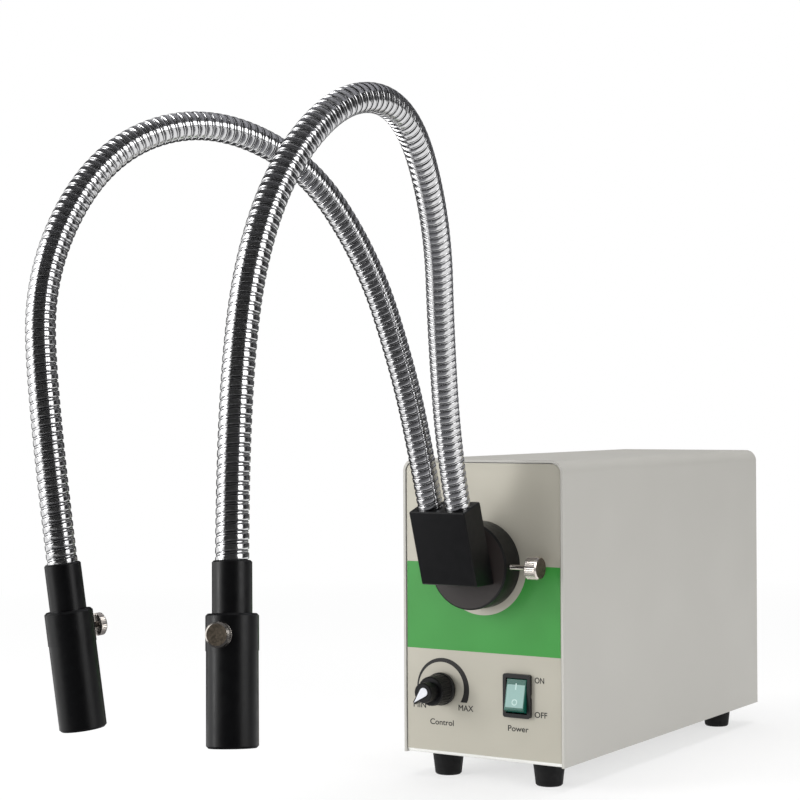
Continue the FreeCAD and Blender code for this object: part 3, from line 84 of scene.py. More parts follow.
def add(tree, kind, sockets=None, stops=(), feeds=None, **settings):
    """One node in a tree.

    Sockets pairs each input with a value or with another node's output, stops are the places and hex colours
    of a colour ramp, feeds is the input that the node's first output goes to, and settings are properties.
    """
    made = tree.nodes.new(kind)
    for name, value in settings.items():
        setattr(made, name, value)
    for name, value in (sockets or {}).items():
        if isinstance(value, bpy.types.NodeSocket):
            tree.links.new(value, made.inputs[name])
        else:
            made.inputs[name].default_value = value
    for number, (position, colour) in enumerate(stops):
        made.color_ramp.elements[number].position = position
        made.color_ramp.elements[number].color = linear(colour)
    if feeds is not None:
        tree.links.new(made.outputs[0], feeds)
    return made


print("cream, linear:", [round(c, 3) for c in linear("#C0BDAF")])

# %% [markdown]
# ## Camera
#
# A portrait of a product is taken from about a metre away with a long lens, which keeps the case's edges
# nearly parallel. A camera could be aimed with a constraint at a target, but a constraint hides the angles.
# Here they are written out as three turns, to the left, up, and a little roll, so that each can be set by
# itself. The camera stands in front and to the right of the case, at the height of its lid.

# %% Place the camera
CAMERA_PLACE = Vector((0.4569, -0.8955, 0.1788))
CAMERA_LEFT, CAMERA_UP, CAMERA_ROLL = math.radians(32.84), math.radians(0.28), math.radians(-0.31)
SENSOR_WIDTH, LENS = 36, 85.07  # both in millimetres

camera = bpy.data.objects.new("camera", bpy.data.cameras.new("camera"))
bpy.context.scene.collection.objects.link(camera)
camera.data.sensor_width, camera.data.lens = SENSOR_WIDTH, LENS
camera.data.clip_start, camera.data.clip_end = 0.05, 20
turn = Matrix.Rotation(CAMERA_LEFT, 4, "Z") @ Matrix.Rotation(math.pi / 2 + CAMERA_UP, 4, "X")
turn = turn @ Matrix.Rotation(CAMERA_ROLL, 4, "Z")
camera.matrix_world = Matrix.Translation(CAMERA_PLACE) @ turn
bpy.context.scene.camera = camera
print("lens", LENS, "mm, looking along", [round(c, 3) for c in -turn.col[2].xyz])

# %% [markdown]
# ## Studio
#
# A small product is often shot on a roll of white paper that sweeps up behind it. Stronger lamps would turn
# that paper pure white, but would wash out the object too. So the floor is plain paper that takes the
# object's shadow, and also glows with a strength of one, faintly under the object and fully further away,
# where no horizon may show. It glows only for rays that come from the camera, a mirror or a glass. Rays
# that carry light to the object meet plain paper.

# %% The paper floor
scene = bpy.context.scene
scene.view_settings.view_transform = "Standard"
FLOOR_HALF = 4
NEAR, FAR = 0.3, 1.0  # distances between which the paper's glow grows
NEAR_GLOW, FAR_GLOW = 0.62, 1.0


def sees_backdrop(tree):
    """One for rays that come from the camera, a mirror or a glass, and zero for those that carry light."""
    ray = add(tree, "ShaderNodeLightPath").outputs
    bounced = add(tree, "ShaderNodeMath", {0: ray["Is Glossy Ray"], 1: ray["Is Transmission Ray"]},
                  operation="MAXIMUM")
    seen = add(tree, "ShaderNodeMath", {0: bounced.outputs[0], 1: ray["Is Camera Ray"]}, operation="MAXIMUM")
    return seen.outputs[0]


paper_roll = bpy.data.materials.new("white_paper_roll")
paper_roll.use_nodes = True
tree = paper_roll.node_tree
tree.nodes.clear()
paper = add(tree, "ShaderNodeBsdfDiffuse", {"Color": linear("#FAFAFA")})
glow = add(tree, "ShaderNodeEmission", {"Color": linear("#FFFFFF"), "Strength": 1.0})
place = add(tree, "ShaderNodeTexCoord").outputs["Object"]
away = add(tree, "ShaderNodeVectorMath", {0: place}, operation="LENGTH")
fade = add(tree, "ShaderNodeMapRange", {"Value": away.outputs["Value"], "From Min": NEAR, "From Max": FAR,
                                        "To Min": NEAR_GLOW, "To Max": FAR_GLOW})
share = add(tree, "ShaderNodeMath", {0: sees_backdrop(tree), 1: fade.outputs[0]}, operation="MULTIPLY")
mixed = add(tree, "ShaderNodeMixShader", {0: share.outputs[0], 1: paper.outputs[0], 2: glow.outputs[0]})
add(tree, "ShaderNodeOutputMaterial", {"Surface": mixed.outputs[0]})

corners = [(x * FLOOR_HALF, y * FLOOR_HALF, 0) for x, y in ((-1, -1), (1, -1), (1, 1), (-1, 1))]
mesh = bpy.data.meshes.new("floor")
mesh.from_pydata(corners, [], [(0, 1, 2, 3)])
mesh.materials.append(paper_roll)
floor = bpy.data.objects.new("floor", mesh)
scene.collection.objects.link(floor)
print("floor:", floor.name, 2 * FLOOR_HALF, "m wide")

# %% [markdown]
# The world is what stands behind the floor. A plain white world would light the object from every side and
# take the shadows away, so it is white only to look at, and gives everything else a weak fill.

# %% The world
WORLD_FILL = 0.42

world = bpy.data.worlds.new("light_tent")
world.use_nodes = True
tree = world.node_tree
tree.nodes.clear()
fill = add(tree, "ShaderNodeBackground", {"Color": linear("#FFFFFF"), "Strength": WORLD_FILL})
backdrop = add(tree, "ShaderNodeBackground", {"Color": linear("#FFFFFF"), "Strength": 1.0})
mixed = add(tree, "ShaderNodeMixShader", {0: sees_backdrop(tree), 1: fill.outputs[0], 2: backdrop.outputs[0]})
add(tree, "ShaderNodeOutputWorld", {"Surface": mixed.outputs[0]})
scene.world = world
print("world:", world.name, "with a fill of", WORLD_FILL)

# %% [markdown]
# ## Lamps
#
# Soft light needs lamps that are large for their distance. Small bright ones would draw hard shadows of the
# hoses across the panel. The key lamp stands at the left in front, a little above the object, with a narrow
# strip lamp beside it that the bright metal mirrors as a line. A third lamp lights the long side, a fourth
# fills the shadow beside the light port, and the last lights the lid. The fill lamp is hidden from mirrors,
# as a polarising filter hides a lamp, so that the black parts stay black.

# %% Softboxes
MIDDLE = (0, -0.2, 0.15)


def aimed(place, target):
    """A placing that looks from a place to a target."""
    way = Vector(target) - Vector(place)
    return Matrix.Translation(place) @ way.to_track_quat("-Z", "Y").to_matrix().to_4x4()


def softbox(name, place, target, width, height, power, mirrored=True):
    """A soft lamp that faces a point. Glossy surfaces mirror it unless it is told otherwise."""
    lamp = bpy.data.objects.new(name, bpy.data.lights.new(name, "AREA"))
    lamp.data.shape = "RECTANGLE"
    lamp.data.size, lamp.data.size_y, lamp.data.energy = width, height, power
    lamp.matrix_world = aimed(place, target)
    lamp.visible_glossy = mirrored
    scene.collection.objects.link(lamp)


softbox("key_left", (-1.2, -1.25, 0.8), MIDDLE, 1.0, 1.0, 12)
softbox("strip_left", (-0.95, -1.25, 0.3), MIDDLE, 0.22, 0.9, 4)
softbox("side_light", (1.9, -0.3, 0.8), MIDDLE, 1.0, 1.0, 7.6)
softbox("front_fill", (0.9, -1.9, 0.7), MIDDLE, 1.2, 1.2, 5.8, mirrored=False)
softbox("top_light", (0, 0.1, 1.7), (0, 0, 0), 1.2, 1.2, 14.5)
print("lamps:", ", ".join(lamp.name for lamp in bpy.data.lights))

# %% [markdown]
# ## Dark cards
#
# Bright metal shows whatever stands round it: a tube in an all-white tent looks like grey plastic. So a
# photographer hangs dark cards round it, and so does this scene. Painting dark stripes on the metal itself
# would be easier, but they would stay in place when the hose bends or the camera moves. The wide card
# behind the camera draws the dark stripe down the middle of each tube, and the ones at the back draw its
# dark edges. One lies on the bench at the left, for what leans forward and mirrors the bench. Only
# reflections see the cards: they cast no shadow and no view shows them.

# %% Cards that only reflections see
CARD_DISTANCE, CARD_HEIGHT = 1.6, 1.9
BENCH = 0.001  # a card on the bench lies a millimetre over the floor


def card(name, corners, shade):
    """A matt card between four corners, and its material."""
    matt = bpy.data.materials.new(name + "_paper")
    matt.use_nodes = True
    matt.node_tree.nodes["Principled BSDF"].inputs["Base Color"].default_value = linear(shade)
    matt.node_tree.nodes["Principled BSDF"].inputs["Roughness"].default_value = 1.0
    sheet = bpy.data.meshes.new(name)
    sheet.from_pydata(corners, [], [(0, 1, 2, 3)])
    sheet.materials.append(matt)
    flag = bpy.data.objects.new(name, sheet)
    scene.collection.objects.link(flag)
    flag.visible_camera = flag.visible_diffuse = flag.visible_shadow = flag.visible_transmission = False
    return matt


def standing_card(name, first_angle, last_angle, shade):
    """A card that stands between two compass angles round the object."""
    angles = math.radians(first_angle), math.radians(last_angle)
    reach = CARD_DISTANCE / math.cos((angles[1] - angles[0]) / 2)
    feet = [(reach * math.cos(a), MIDDLE[1] + reach * math.sin(a)) for a in angles]
    card(name, [(*feet[0], 0), (*feet[1], 0), (*feet[1], CARD_HEIGHT), (*feet[0], CARD_HEIGHT)], shade)


standing_card("card_behind_camera", -110, -14, "#2A2A2A")
standing_card("card_right", 17, 43, "#1E1E1E")
standing_card("card_back_right", 43, 117, "#4A4A4C")
standing_card("card_back_left", 117, 169, "#1E1E1E")
card("card_bench_left", [(-1.6, -0.2, BENCH), (-0.1, -0.2, BENCH), (-0.1, 1.4, BENCH), (-1.6, 1.4, BENCH)],
     "#303032")

# %% [markdown]
# A card of one shade ends in a hard line, which the hose would mirror as a step. Where the metal should
# darken bit by bit, the card itself fades from dark to pale. One such card hangs overhead and darkens the
# tops of the arcs. The other lies on the bench in front, pale near the case and dark further out.

# %% Cards that fade
OVERHEAD = 1.5


def faded_card(name, corners, dark_at, pale_at, dark, pale):
    """A card that goes from dark to pale between two places along Y."""
    matt = card(name, corners, dark).node_tree
    place = add(matt, "ShaderNodeSeparateXYZ", {0: add(matt, "ShaderNodeTexCoord").outputs["Object"]})
    share = add(matt, "ShaderNodeMapRange", {"Value": place.outputs["Y"], "From Min": dark_at,
                                             "From Max": pale_at})
    add(matt, "ShaderNodeValToRGB", {"Fac": share.outputs[0]}, stops=[(0, dark), (1, pale)],
        feeds=matt.nodes["Principled BSDF"].inputs["Base Color"])
    print(name, "fades from", dark, "to", pale)


faded_card("card_overhead", [(-2.4, -2.4, OVERHEAD), (2.2, -2.4, OVERHEAD), (2.2, 2.0, OVERHEAD),
                             (-2.4, 2.0, OVERHEAD)], -0.4, 0.7, "#38383A", "#B0B0B6")
faded_card("card_bench_front", [(-0.12, -0.2, BENCH), (-0.48, -1.5, BENCH), (1.7, -1.5, BENCH),
                                (1.6, -0.3, BENCH)], -0.42, -0.24, "#38383A", "#8A8A8E")

# %% [markdown]
# ## Finishes
#
# Each finish starts from what the real one is and how its surface was made. The Principled shader gets the
# typical values of that material, then one or two procedural patterns at their real size in millimetres.
#
# The patterns use object coordinates. Pictures wrapped round the parts would need every part unwrapped, and
# would stretch at corners, while a pattern in space needs neither. The solids stand at the origin in
# metres, so a pattern of a given size keeps it. A noise node mostly gives values between 0.3 and 0.7, so
# those are the two ends between which roughness and colour are spread.

# %% The base of every finish
LOW, HIGH = 0.3, 0.7  # where the values of a noise pattern mostly lie


def finish(name, colour, roughness, metallic=0.0, **sockets):
    """A new material with typical values, its node tree, its shader and its object coordinates."""
    material = bpy.data.materials.new(name)
    material.use_nodes = True
    shader = material.node_tree.nodes["Principled BSDF"]
    shader.inputs["Base Color"].default_value = linear(colour)
    shader.inputs["Roughness"].default_value = roughness
    shader.inputs["Metallic"].default_value = metallic
    for socket, value in sockets.items():
        shader.inputs[socket.replace("_", " ")].default_value = value
    place = add(material.node_tree, "ShaderNodeTexCoord").outputs["Object"]
    return material, material.node_tree, shader, place


def wear(material, *names):
    """Gives a finish to the solids that wear it."""
    for name in names:
        nodes[name].data.materials.clear()
        nodes[name].data.materials.append(material)
    print(material.name, "on", ", ".join(names))


print("solids to finish:", len(nodes))

# %% [markdown]
# ### Powder coat on the cover
#
# The cover is folded steel with an epoxy powder coat baked on it. The powder melts into a skin with a fine
# orange peel, about a millimetre from crest to crest and a few hundredths deep. To the eye that is cream
# with a broken, satin shine. Displacing the mesh would need millions of faces for something this shallow,
# so the peel is a bump. A second, cloudy pattern a few centimetres wide shifts the colour a little, as a
# baked coat does.

# %% Cream powder coat
cover_paint, tree, shader, place = finish("cream_powder_coat", "#BEBDB7", 0.46, IOR=1.5)
peel = add(tree, "ShaderNodeTexNoise", {"Vector": place, "Scale": 1 / (0.9 * MM), "Detail": 3})
add(tree, "ShaderNodeBump", {"Height": peel.outputs["Fac"], "Distance": 0.05 * MM, "Strength": 0.55},
    feeds=shader.inputs["Normal"])
clouds = add(tree, "ShaderNodeTexNoise", {"Vector": place, "Scale": 1 / (30 * MM), "Detail": 0})
add(tree, "ShaderNodeValToRGB", {"Fac": clouds.outputs["Fac"]}, stops=[(LOW, "#BFBDB7"), (HIGH, "#C1BFB9")],
    feeds=shader.inputs["Base Color"])
wear(cover_paint, "top_cover")

# %% [markdown]
# ### The inner sheet
#
# The front, base and back are one folded sheet under the cover. It is coated in a smoother powder, so its
# peel is wider and shallower. Its cream is set near white, paler than the cover's: partly its own paler paint
# and partly a painted highlight, so that its thin edges under the label read as a bright line. It could share
# the cover's finish, but then that line would be lost.

# %% Smooth coat on the chassis, painted near white
# Partly painted highlight: the near-white cream makes the sheet's thin edges read as a bright line.
chassis_paint_painted_bright, tree, shader, place = finish("cream_coat_painted_bright", "#F8F8F4", 0.4, IOR=1.5)
peel = add(tree, "ShaderNodeTexNoise", {"Vector": place, "Scale": 1 / (1.2 * MM)})
add(tree, "ShaderNodeBump", {"Height": peel.outputs["Fac"], "Distance": 0.03 * MM, "Strength": 0.4},
    feeds=shader.inputs["Normal"])
clouds = add(tree, "ShaderNodeTexNoise", {"Vector": place, "Scale": 1 / (20 * MM)})
add(tree, "ShaderNodeValToRGB", {"Fac": clouds.outputs["Fac"]}, stops=[(LOW, "#F6F6F2"), (HIGH, "#FAFAF6")],
    feeds=shader.inputs["Base Color"])
wear(chassis_paint_painted_bright, "chassis")

# %% [markdown]
# ### Printed aluminium label
#
# The front plate is thin aluminium, brushed, anodised to a champagne grey and screen printed. Anodised
# metal is satin: it keeps its colour in shade and still picks up a soft sheen, so it is a quarter metallic
# here. Brushing leaves marks a few tenths of a millimetre wide across it. A real brush can be copied with
# anisotropic gloss, but the marks themselves show on a plate this near, so they are drawn: a fine noise,
# pulled out along X, which changes the gloss and raises a bump of a few thousandths of a millimetre.

# %% Champagne plate
label_plate, tree, shader, place = finish("champagne_anodised_plate", "#B9B5A8", 0.42, 0.25)
pulled = add(tree, "ShaderNodeMapping", {"Vector": place, "Scale": (0.03, 1, 1)}).outputs[0]
brushed = add(tree, "ShaderNodeTexNoise", {"Vector": pulled, "Scale": 1 / (0.35 * MM)}).outputs["Fac"]
add(tree, "ShaderNodeMapRange", {"Value": brushed, "From Min": LOW, "From Max": HIGH, "To Min": 0.38,
                                 "To Max": 0.48}, feeds=shader.inputs["Roughness"])
add(tree, "ShaderNodeBump", {"Height": brushed, "Distance": 0.004 * MM, "Strength": 0.5},
    feeds=shader.inputs["Normal"])
dyed = add(tree, "ShaderNodeTexNoise", {"Vector": place, "Scale": 1 / (25 * MM), "Detail": 1})
add(tree, "ShaderNodeValToRGB", {"Fac": dyed.outputs["Fac"]}, stops=[(LOW, "#B7B3A6"), (HIGH, "#BBB7AA")],
    feeds=shader.inputs["Base Color"])
wear(label_plate, "front_label")

# %% [markdown]
# ### Black anodised aluminium
#
# The block and the lens barrels are milled or turned from aluminium and dyed black. The dye sits in clear
# oxide, so the surface is dark with a soft sheen and looks like no metal at all. A metallic shader would
# mirror the room in grey, so this one isn't metallic, and its low IOR is what thin, porous oxide has. The
# cutter leaves rings a tenth of a millimetre apart, too fine to show, so they are drawn as grains of a
# quarter of a millimetre. Wider patches change the gloss along the length.

# %% Black anodising
black_anodised, tree, shader, place = finish("black_anodised_aluminium", "#08080A", 0.34, IOR=1.38)
patches = add(tree, "ShaderNodeTexNoise", {"Vector": place, "Scale": 1 / (3 * MM), "Detail": 4})
add(tree, "ShaderNodeMapRange", {"Value": patches.outputs["Fac"], "From Min": LOW, "From Max": HIGH,
                                 "To Min": 0.28, "To Max": 0.4}, feeds=shader.inputs["Roughness"])
cutter = add(tree, "ShaderNodeTexNoise", {"Vector": place, "Scale": 1 / (0.25 * MM)})
add(tree, "ShaderNodeBump", {"Height": cutter.outputs["Fac"], "Distance": 0.006 * MM, "Strength": 0.5},
    feeds=shader.inputs["Normal"])
wear(black_anodised, "guide_block", "left_end_ferrule", "right_end_ferrule", "left_lens_barrel",
     "right_lens_barrel", "left_lens_ring", "right_lens_ring", "heat_sink")

# %% [markdown]
# ### The collar of the light port
#
# The collar is the same metal. Its face, which looks to the front, is painted lighter and browner than its
# rim: a painted sheen for the light that the face catches. It could be cut into two pieces with a finish
# each. One material is simpler, and leaves the solid whole: it compares the way each bit of surface faces
# with the front, in the collar's own coordinates.

# %% The collar's face, with a painted sheen
collar_black_painted_sheen, tree, shader, place = finish("black_anodised_turned_face", "#0A0A0B", 0.4, IOR=1.38)
facing = add(tree, "ShaderNodeTexCoord").outputs["Normal"]
frontal = add(tree, "ShaderNodeVectorMath", {0: facing, 1: (0, -1, 0)}, operation="DOT_PRODUCT")
face = add(tree, "ShaderNodeMapRange", {"Value": frontal.outputs["Value"], "From Min": 0.8, "From Max": 0.97})
# Painted sheen: the face that looks to the front gets a lighter, browner colour than the rim.
add(tree, "ShaderNodeValToRGB", {"Fac": face.outputs[0]}, stops=[(0, "#0A0A0B"), (1, "#332E2D")],
    feeds=shader.inputs["Base Color"])
patches = add(tree, "ShaderNodeTexNoise", {"Vector": place, "Scale": 1 / (2 * MM), "Detail": 3})
add(tree, "ShaderNodeMapRange", {"Value": patches.outputs["Fac"], "From Min": LOW, "From Max": HIGH,
                                 "To Min": 0.34, "To Max": 0.46}, feeds=shader.inputs["Roughness"])
wear(collar_black_painted_sheen, "port_collar")

# %% [markdown]
# ### Bright steel hose
#
# A gooseneck is a steel strip wound into a hose and left bright. It mirrors the room, and rolling leaves
# fine lines along the strip, which blur the mirror a little and unevenly. The bands themselves are far too
# deep for a bump, so they come later, as mesh, and this finish is only the metal.
#
# The hooked edges of the strip lie in the gaps between the bands. Hardly any light finds its way in there
# and out again, so they get a dark steel of their own: a painted shade, with a faint mottle.

# %% Bright wound steel
hose_steel, tree, shader, place = finish("bright_wound_steel", "#DCDCDD", 0.15, 1.0)
rolled = add(tree, "ShaderNodeTexNoise", {"Vector": place, "Scale": 1 / (1.5 * MM), "Detail": 4})
add(tree, "ShaderNodeMapRange", {"Value": rolled.outputs["Fac"], "From Min": LOW, "From Max": HIGH,
                                 "To Min": 0.11, "To Max": 0.19}, feeds=shader.inputs["Roughness"])
neck_nodes = [side + "_neck_" + part for side in ("left", "right") for part in ("rise", "drop", "tip")]
wear(hose_steel, "neck_roots", *neck_nodes)

# Painted shade for the gaps: a dark steel colour, mottled between two dark greys.
groove_painted_shade, tree, shader, place = finish("hooked_edge_in_shadow", "#2E2E30", 0.45, 1.0)
groove_shade_mottle = add(tree, "ShaderNodeTexNoise", {"Vector": place, "Scale": 1 / (1.0 * MM), "Detail": 3})
add(tree, "ShaderNodeValToRGB", {"Fac": groove_shade_mottle.outputs["Fac"]}, stops=[(LOW, "#262628"), (HIGH, "#38383A")],
    feeds=shader.inputs["Base Color"])
print(groove_painted_shade.name, "is for the hose's gaps")

# %% [markdown]
# ### Nickel plate
#
# The thumbscrews are brass or steel with nickel on them: a warm, bright metal with soft reflections.
# Fingers and tools leave faint marks about a millimetre across, and here those are patches that are a
# little rougher. A colour pattern would look like dirt, so the colour stays even.

# %% Nickel plate
nickel, tree, shader, place = finish("nickel_plate", "#DDD6CE", 0.2, 1.0)
marks = add(tree, "ShaderNodeTexNoise", {"Vector": place, "Scale": 1 / (0.8 * MM), "Detail": 3})
add(tree, "ShaderNodeMapRange", {"Value": marks.outputs["Fac"], "From Min": LOW, "From Max": HIGH,
                                 "To Min": 0.15, "To Max": 0.28}, feeds=shader.inputs["Roughness"])
wear(nickel, "port_screw_stud", "port_screw_head", "left_lens_screw_stud", "left_lens_screw_head",
     "right_lens_screw_stud", "right_lens_screw_head", "potentiometer_shaft", "fan_guard", "inlet_pins",
     "switch_terminals", "guide_ferrule")

# %% [markdown]
# ### Rubber feet
#
# The feet are moulded rubber, nearly black, with a dull skin that catches a little dust. The skin's pores
# are about a third of a millimetre across. Rubber could be drawn with sheen as cloth is, but its glow at
# the edges would be too soft: a rough shader with a low IOR and an uneven gloss looks drier.

# %% Moulded rubber
rubber, tree, shader, place = finish("moulded_rubber", "#09090A", 0.62, IOR=1.34)
dust = add(tree, "ShaderNodeTexNoise", {"Vector": place, "Scale": 1 / (2 * MM), "Detail": 4})
add(tree, "ShaderNodeMapRange", {"Value": dust.outputs["Fac"], "From Min": LOW, "From Max": HIGH,
                                 "To Min": 0.55, "To Max": 0.7}, feeds=shader.inputs["Roughness"])
pores = add(tree, "ShaderNodeTexNoise", {"Vector": place, "Scale": 1 / (0.3 * MM)})
add(tree, "ShaderNodeBump", {"Height": pores.outputs["Fac"], "Distance": 0.01 * MM, "Strength": 0.5},
    feeds=shader.inputs["Normal"])
wear(rubber, "rubber_feet")

# %% [markdown]
# ### Black plastics
#
# The knob is moulded ABS. Its mould was eroded by sparks, which leaves a fine, even texture of about 0.3 mm
# and takes the shine off. The switch, fan and inlet are nylon or polyester from a smoother mould: a little
# paler and glossier, with wider grains. Two finishes of one kind, with their own sizes, tell the two apart.

# %% ABS and nylon
knob_abs, tree, shader, place = finish("moulded_black_abs", "#08080A", 0.42, IOR=1.38)
sparked = add(tree, "ShaderNodeTexNoise", {"Vector": place, "Scale": 1 / (0.3 * MM)})
add(tree, "ShaderNodeBump", {"Height": sparked.outputs["Fac"], "Distance": 0.01 * MM, "Strength": 0.6},
    feeds=shader.inputs["Normal"])
handled = add(tree, "ShaderNodeTexNoise", {"Vector": place, "Scale": 1 / (1.0 * MM), "Detail": 3})
add(tree, "ShaderNodeMapRange", {"Value": handled.outputs["Fac"], "From Min": LOW, "From Max": HIGH,
                                 "To Min": 0.36, "To Max": 0.5}, feeds=shader.inputs["Roughness"])
wear(knob_abs, "knob_body")

black_nylon, tree, shader, place = finish("moulded_black_nylon", "#141415", 0.38, IOR=1.5)
skin = add(tree, "ShaderNodeTexNoise", {"Vector": place, "Scale": 1 / (0.5 * MM)})
add(tree, "ShaderNodeBump", {"Height": skin.outputs["Fac"], "Distance": 0.01 * MM, "Strength": 0.5},
    feeds=shader.inputs["Normal"])
flow = add(tree, "ShaderNodeTexNoise", {"Vector": place, "Scale": 1 / (1.5 * MM), "Detail": 3})
add(tree, "ShaderNodeMapRange", {"Value": flow.outputs["Fac"], "From Min": LOW, "From Max": HIGH,
                                 "To Min": 0.32, "To Max": 0.45}, feeds=shader.inputs["Roughness"])
wear(black_nylon, "switch_bezel", "fan_frame", "fan_rotor", "inlet_housing", "fuse_drawer")

# %% [markdown]
# ### The knob's white pointer
#
# The pointer is a moulded white insert, matt and slightly cool. Pure white would clip under the key lamp
# and lose its shape, so it stays a step below, with faint grey clouds a millimetre wide from the moulding.

# %% White insert
white_insert, tree, shader, place = finish("white_insert", "#E2E4EA", 0.5, IOR=1.5)
clouds = add(tree, "ShaderNodeTexNoise", {"Vector": place, "Scale": 1 / (1.0 * MM)})
add(tree, "ShaderNodeValToRGB", {"Fac": clouds.outputs["Fac"]}, stops=[(LOW, "#DDDFE6"), (HIGH, "#E6E8ED")],
    feeds=shader.inputs["Base Color"])
wear(white_insert, "knob_pointer", "board_standoffs")

# %% [markdown]
# ### Teal polycarbonate
#
# The rocker is tinted polycarbonate. Its sides and round ends are a deep, clear teal, and its front is
# frosted, so that it scatters the room's light and looks pale. Real light would have to travel through the
# plastic many times to show that, which makes a noisy picture, so the frost is a paler and rougher colour
# instead. One material does both: it compares the direction in which each bit of surface faces with the
# direction of the front, in the rocker's own coordinates, and keeps to a window inside the face's rim. So
# the frosted face stays with the rocker when it tips.

# %% Where the rocker's face is frosted
ROCKER_TILT = math.radians(13)
ROCKER_AXIS = Vector((19.5, -115.9, 43.5)) * MM
WINDOW_HALF_WIDTH, WINDOW_HALF_HEIGHT = 4.85 * MM, 5.5 * MM
WINDOW_MIDDLE, WINDOW_SOFT_EDGE = -0.7 * MM, 0.3 * MM

teal_clear, tree, shader, place = finish("teal_polycarbonate", "#0F5A4C", 0.2, IOR=1.585)
toward_front = (0, -math.cos(ROCKER_TILT), math.sin(ROCKER_TILT))
up_the_face = (0, math.sin(ROCKER_TILT), math.cos(ROCKER_TILT))
facing = add(tree, "ShaderNodeTexCoord").outputs["Normal"]
frontal = add(tree, "ShaderNodeVectorMath", {0: facing, 1: toward_front}, operation="DOT_PRODUCT")
window = add(tree, "ShaderNodeMapRange", {"Value": frontal.outputs["Value"], "From Min": 0.93,
                                          "From Max": 0.98}).outputs[0]
from_axis = add(tree, "ShaderNodeVectorMath", {0: place, 1: tuple(ROCKER_AXIS)}, operation="SUBTRACT")
sides = [((1, 0, 0), 0.0, WINDOW_HALF_WIDTH), (up_the_face, WINDOW_MIDDLE, WINDOW_HALF_HEIGHT)]
for way, middle, half in sides:
    along = add(tree, "ShaderNodeVectorMath", {0: from_axis.outputs[0], 1: way}, operation="DOT_PRODUCT")
    off = add(tree, "ShaderNodeMath", {0: along.outputs["Value"], 1: middle}, operation="SUBTRACT")
    away = add(tree, "ShaderNodeMath", {0: off.outputs[0]}, operation="ABSOLUTE")
    inside = add(tree, "ShaderNodeMapRange", {"Value": away.outputs[0], "From Min": half,
                                              "From Max": half - WINDOW_SOFT_EDGE})
    window = add(tree, "ShaderNodeMath", {0: window, 1: inside.outputs[0]}, operation="MULTIPLY").outputs[0]
print("frosted window:", round(2000 * WINDOW_HALF_WIDTH, 1), "by", round(2000 * WINDOW_HALF_HEIGHT, 1), "mm")

# %% Frosted and clear teal
mottle = add(tree, "ShaderNodeTexNoise", {"Vector": place, "Scale": 1 / (1.2 * MM), "Detail": 3})
uneven = add(tree, "ShaderNodeMapRange", {"Value": mottle.outputs["Fac"], "To Min": -0.06, "To Max": 0.06})
frost = add(tree, "ShaderNodeMath", {0: window, 1: uneven.outputs[0]}, operation="ADD").outputs[0]
add(tree, "ShaderNodeValToRGB", {"Fac": frost}, stops=[(0, "#0E5548"), (1, "#8CB0AA")],
    feeds=shader.inputs["Base Color"])
add(tree, "ShaderNodeMapRange", {"Value": frost, "To Min": 0.16, "To Max": 0.5},
    feeds=shader.inputs["Roughness"])
wear(teal_clear, "switch_rocker")

# %% [markdown]
# ### Glass, mirror and ceramic
#
# The lenses and the bulb are clear glass, ground or blown, with a faint haze of handling. The heat glass
# has a green tint from the iron in it. Thin glass could be faked with transparency, but then the lenses
# wouldn't turn the view through them upside down, so all of it refracts.
#
# The reflector is pressed glass with a mirror coat on its dimpled bowl, and the lamp sits in a block of
# white pressed ceramic, dry and grainy. The polished end of the fibre bundle is a field of pale dots: a
# Voronoi pattern draws a cell for each. The real fibres are a twentieth of a millimetre across, too fine to
# show, so the cells are drawn at 0.3 mm.

# %% Glass and mirror
crown_glass, tree, shader, place = finish("crown_glass", "#F4FAF8", 0.02, IOR=1.52, Transmission_Weight=1.0)
haze = add(tree, "ShaderNodeTexNoise", {"Vector": place, "Scale": 1 / (6 * MM)})
add(tree, "ShaderNodeMapRange", {"Value": haze.outputs["Fac"], "From Min": LOW, "From Max": HIGH,
                                 "To Min": 0.01, "To Max": 0.03}, feeds=shader.inputs["Roughness"])
wear(crown_glass, "left_lens", "right_lens", "lamp_bulb")

heat_glass, tree, shader, place = finish("heat_absorbing_glass", "#D5EEE2", 0.03, IOR=1.52,
                                         Transmission_Weight=1.0)
haze = add(tree, "ShaderNodeTexNoise", {"Vector": place, "Scale": 1 / (8 * MM)})
add(tree, "ShaderNodeMapRange", {"Value": haze.outputs["Fac"], "From Min": LOW, "From Max": HIGH,
                                 "To Min": 0.02, "To Max": 0.05}, feeds=shader.inputs["Roughness"])
wear(heat_glass, "heat_glass")

mirror_coat, tree, shader, place = finish("mirror_coated_glass", "#E3E3E8", 0.1, 1.0)
dimples = add(tree, "ShaderNodeTexNoise", {"Vector": place, "Scale": 1 / (1.6 * MM), "Detail": 3})
add(tree, "ShaderNodeMapRange", {"Value": dimples.outputs["Fac"], "From Min": LOW, "From Max": HIGH,
                                 "To Min": 0.06, "To Max": 0.2}, feeds=shader.inputs["Roughness"])
wear(mirror_coat, "lamp_reflector")

# %% Ceramic and fibre ends
ceramic, tree, shader, place = finish("pressed_ceramic", "#DAD3C4", 0.7, IOR=1.6)
grit = add(tree, "ShaderNodeTexNoise", {"Vector": place, "Scale": 1 / (0.4 * MM), "Detail": 4})
add(tree, "ShaderNodeBump", {"Height": grit.outputs["Fac"], "Distance": 0.02 * MM, "Strength": 0.6},
    feeds=shader.inputs["Normal"])
wear(ceramic, "lamp_socket")

fibre_end, tree, shader, place = finish("polished_fibre_bundle", "#CFCBB8", 0.12, IOR=1.52)
fibres = add(tree, "ShaderNodeTexVoronoi", {"Vector": place, "Scale": 1 / (0.3 * MM)}).outputs["Distance"]
add(tree, "ShaderNodeValToRGB", {"Fac": fibres}, stops=[(LOW, "#DAD6C2"), (HIGH, "#6F6B5C")],
    feeds=shader.inputs["Base Color"])
wear(fibre_end, "input_fibres")

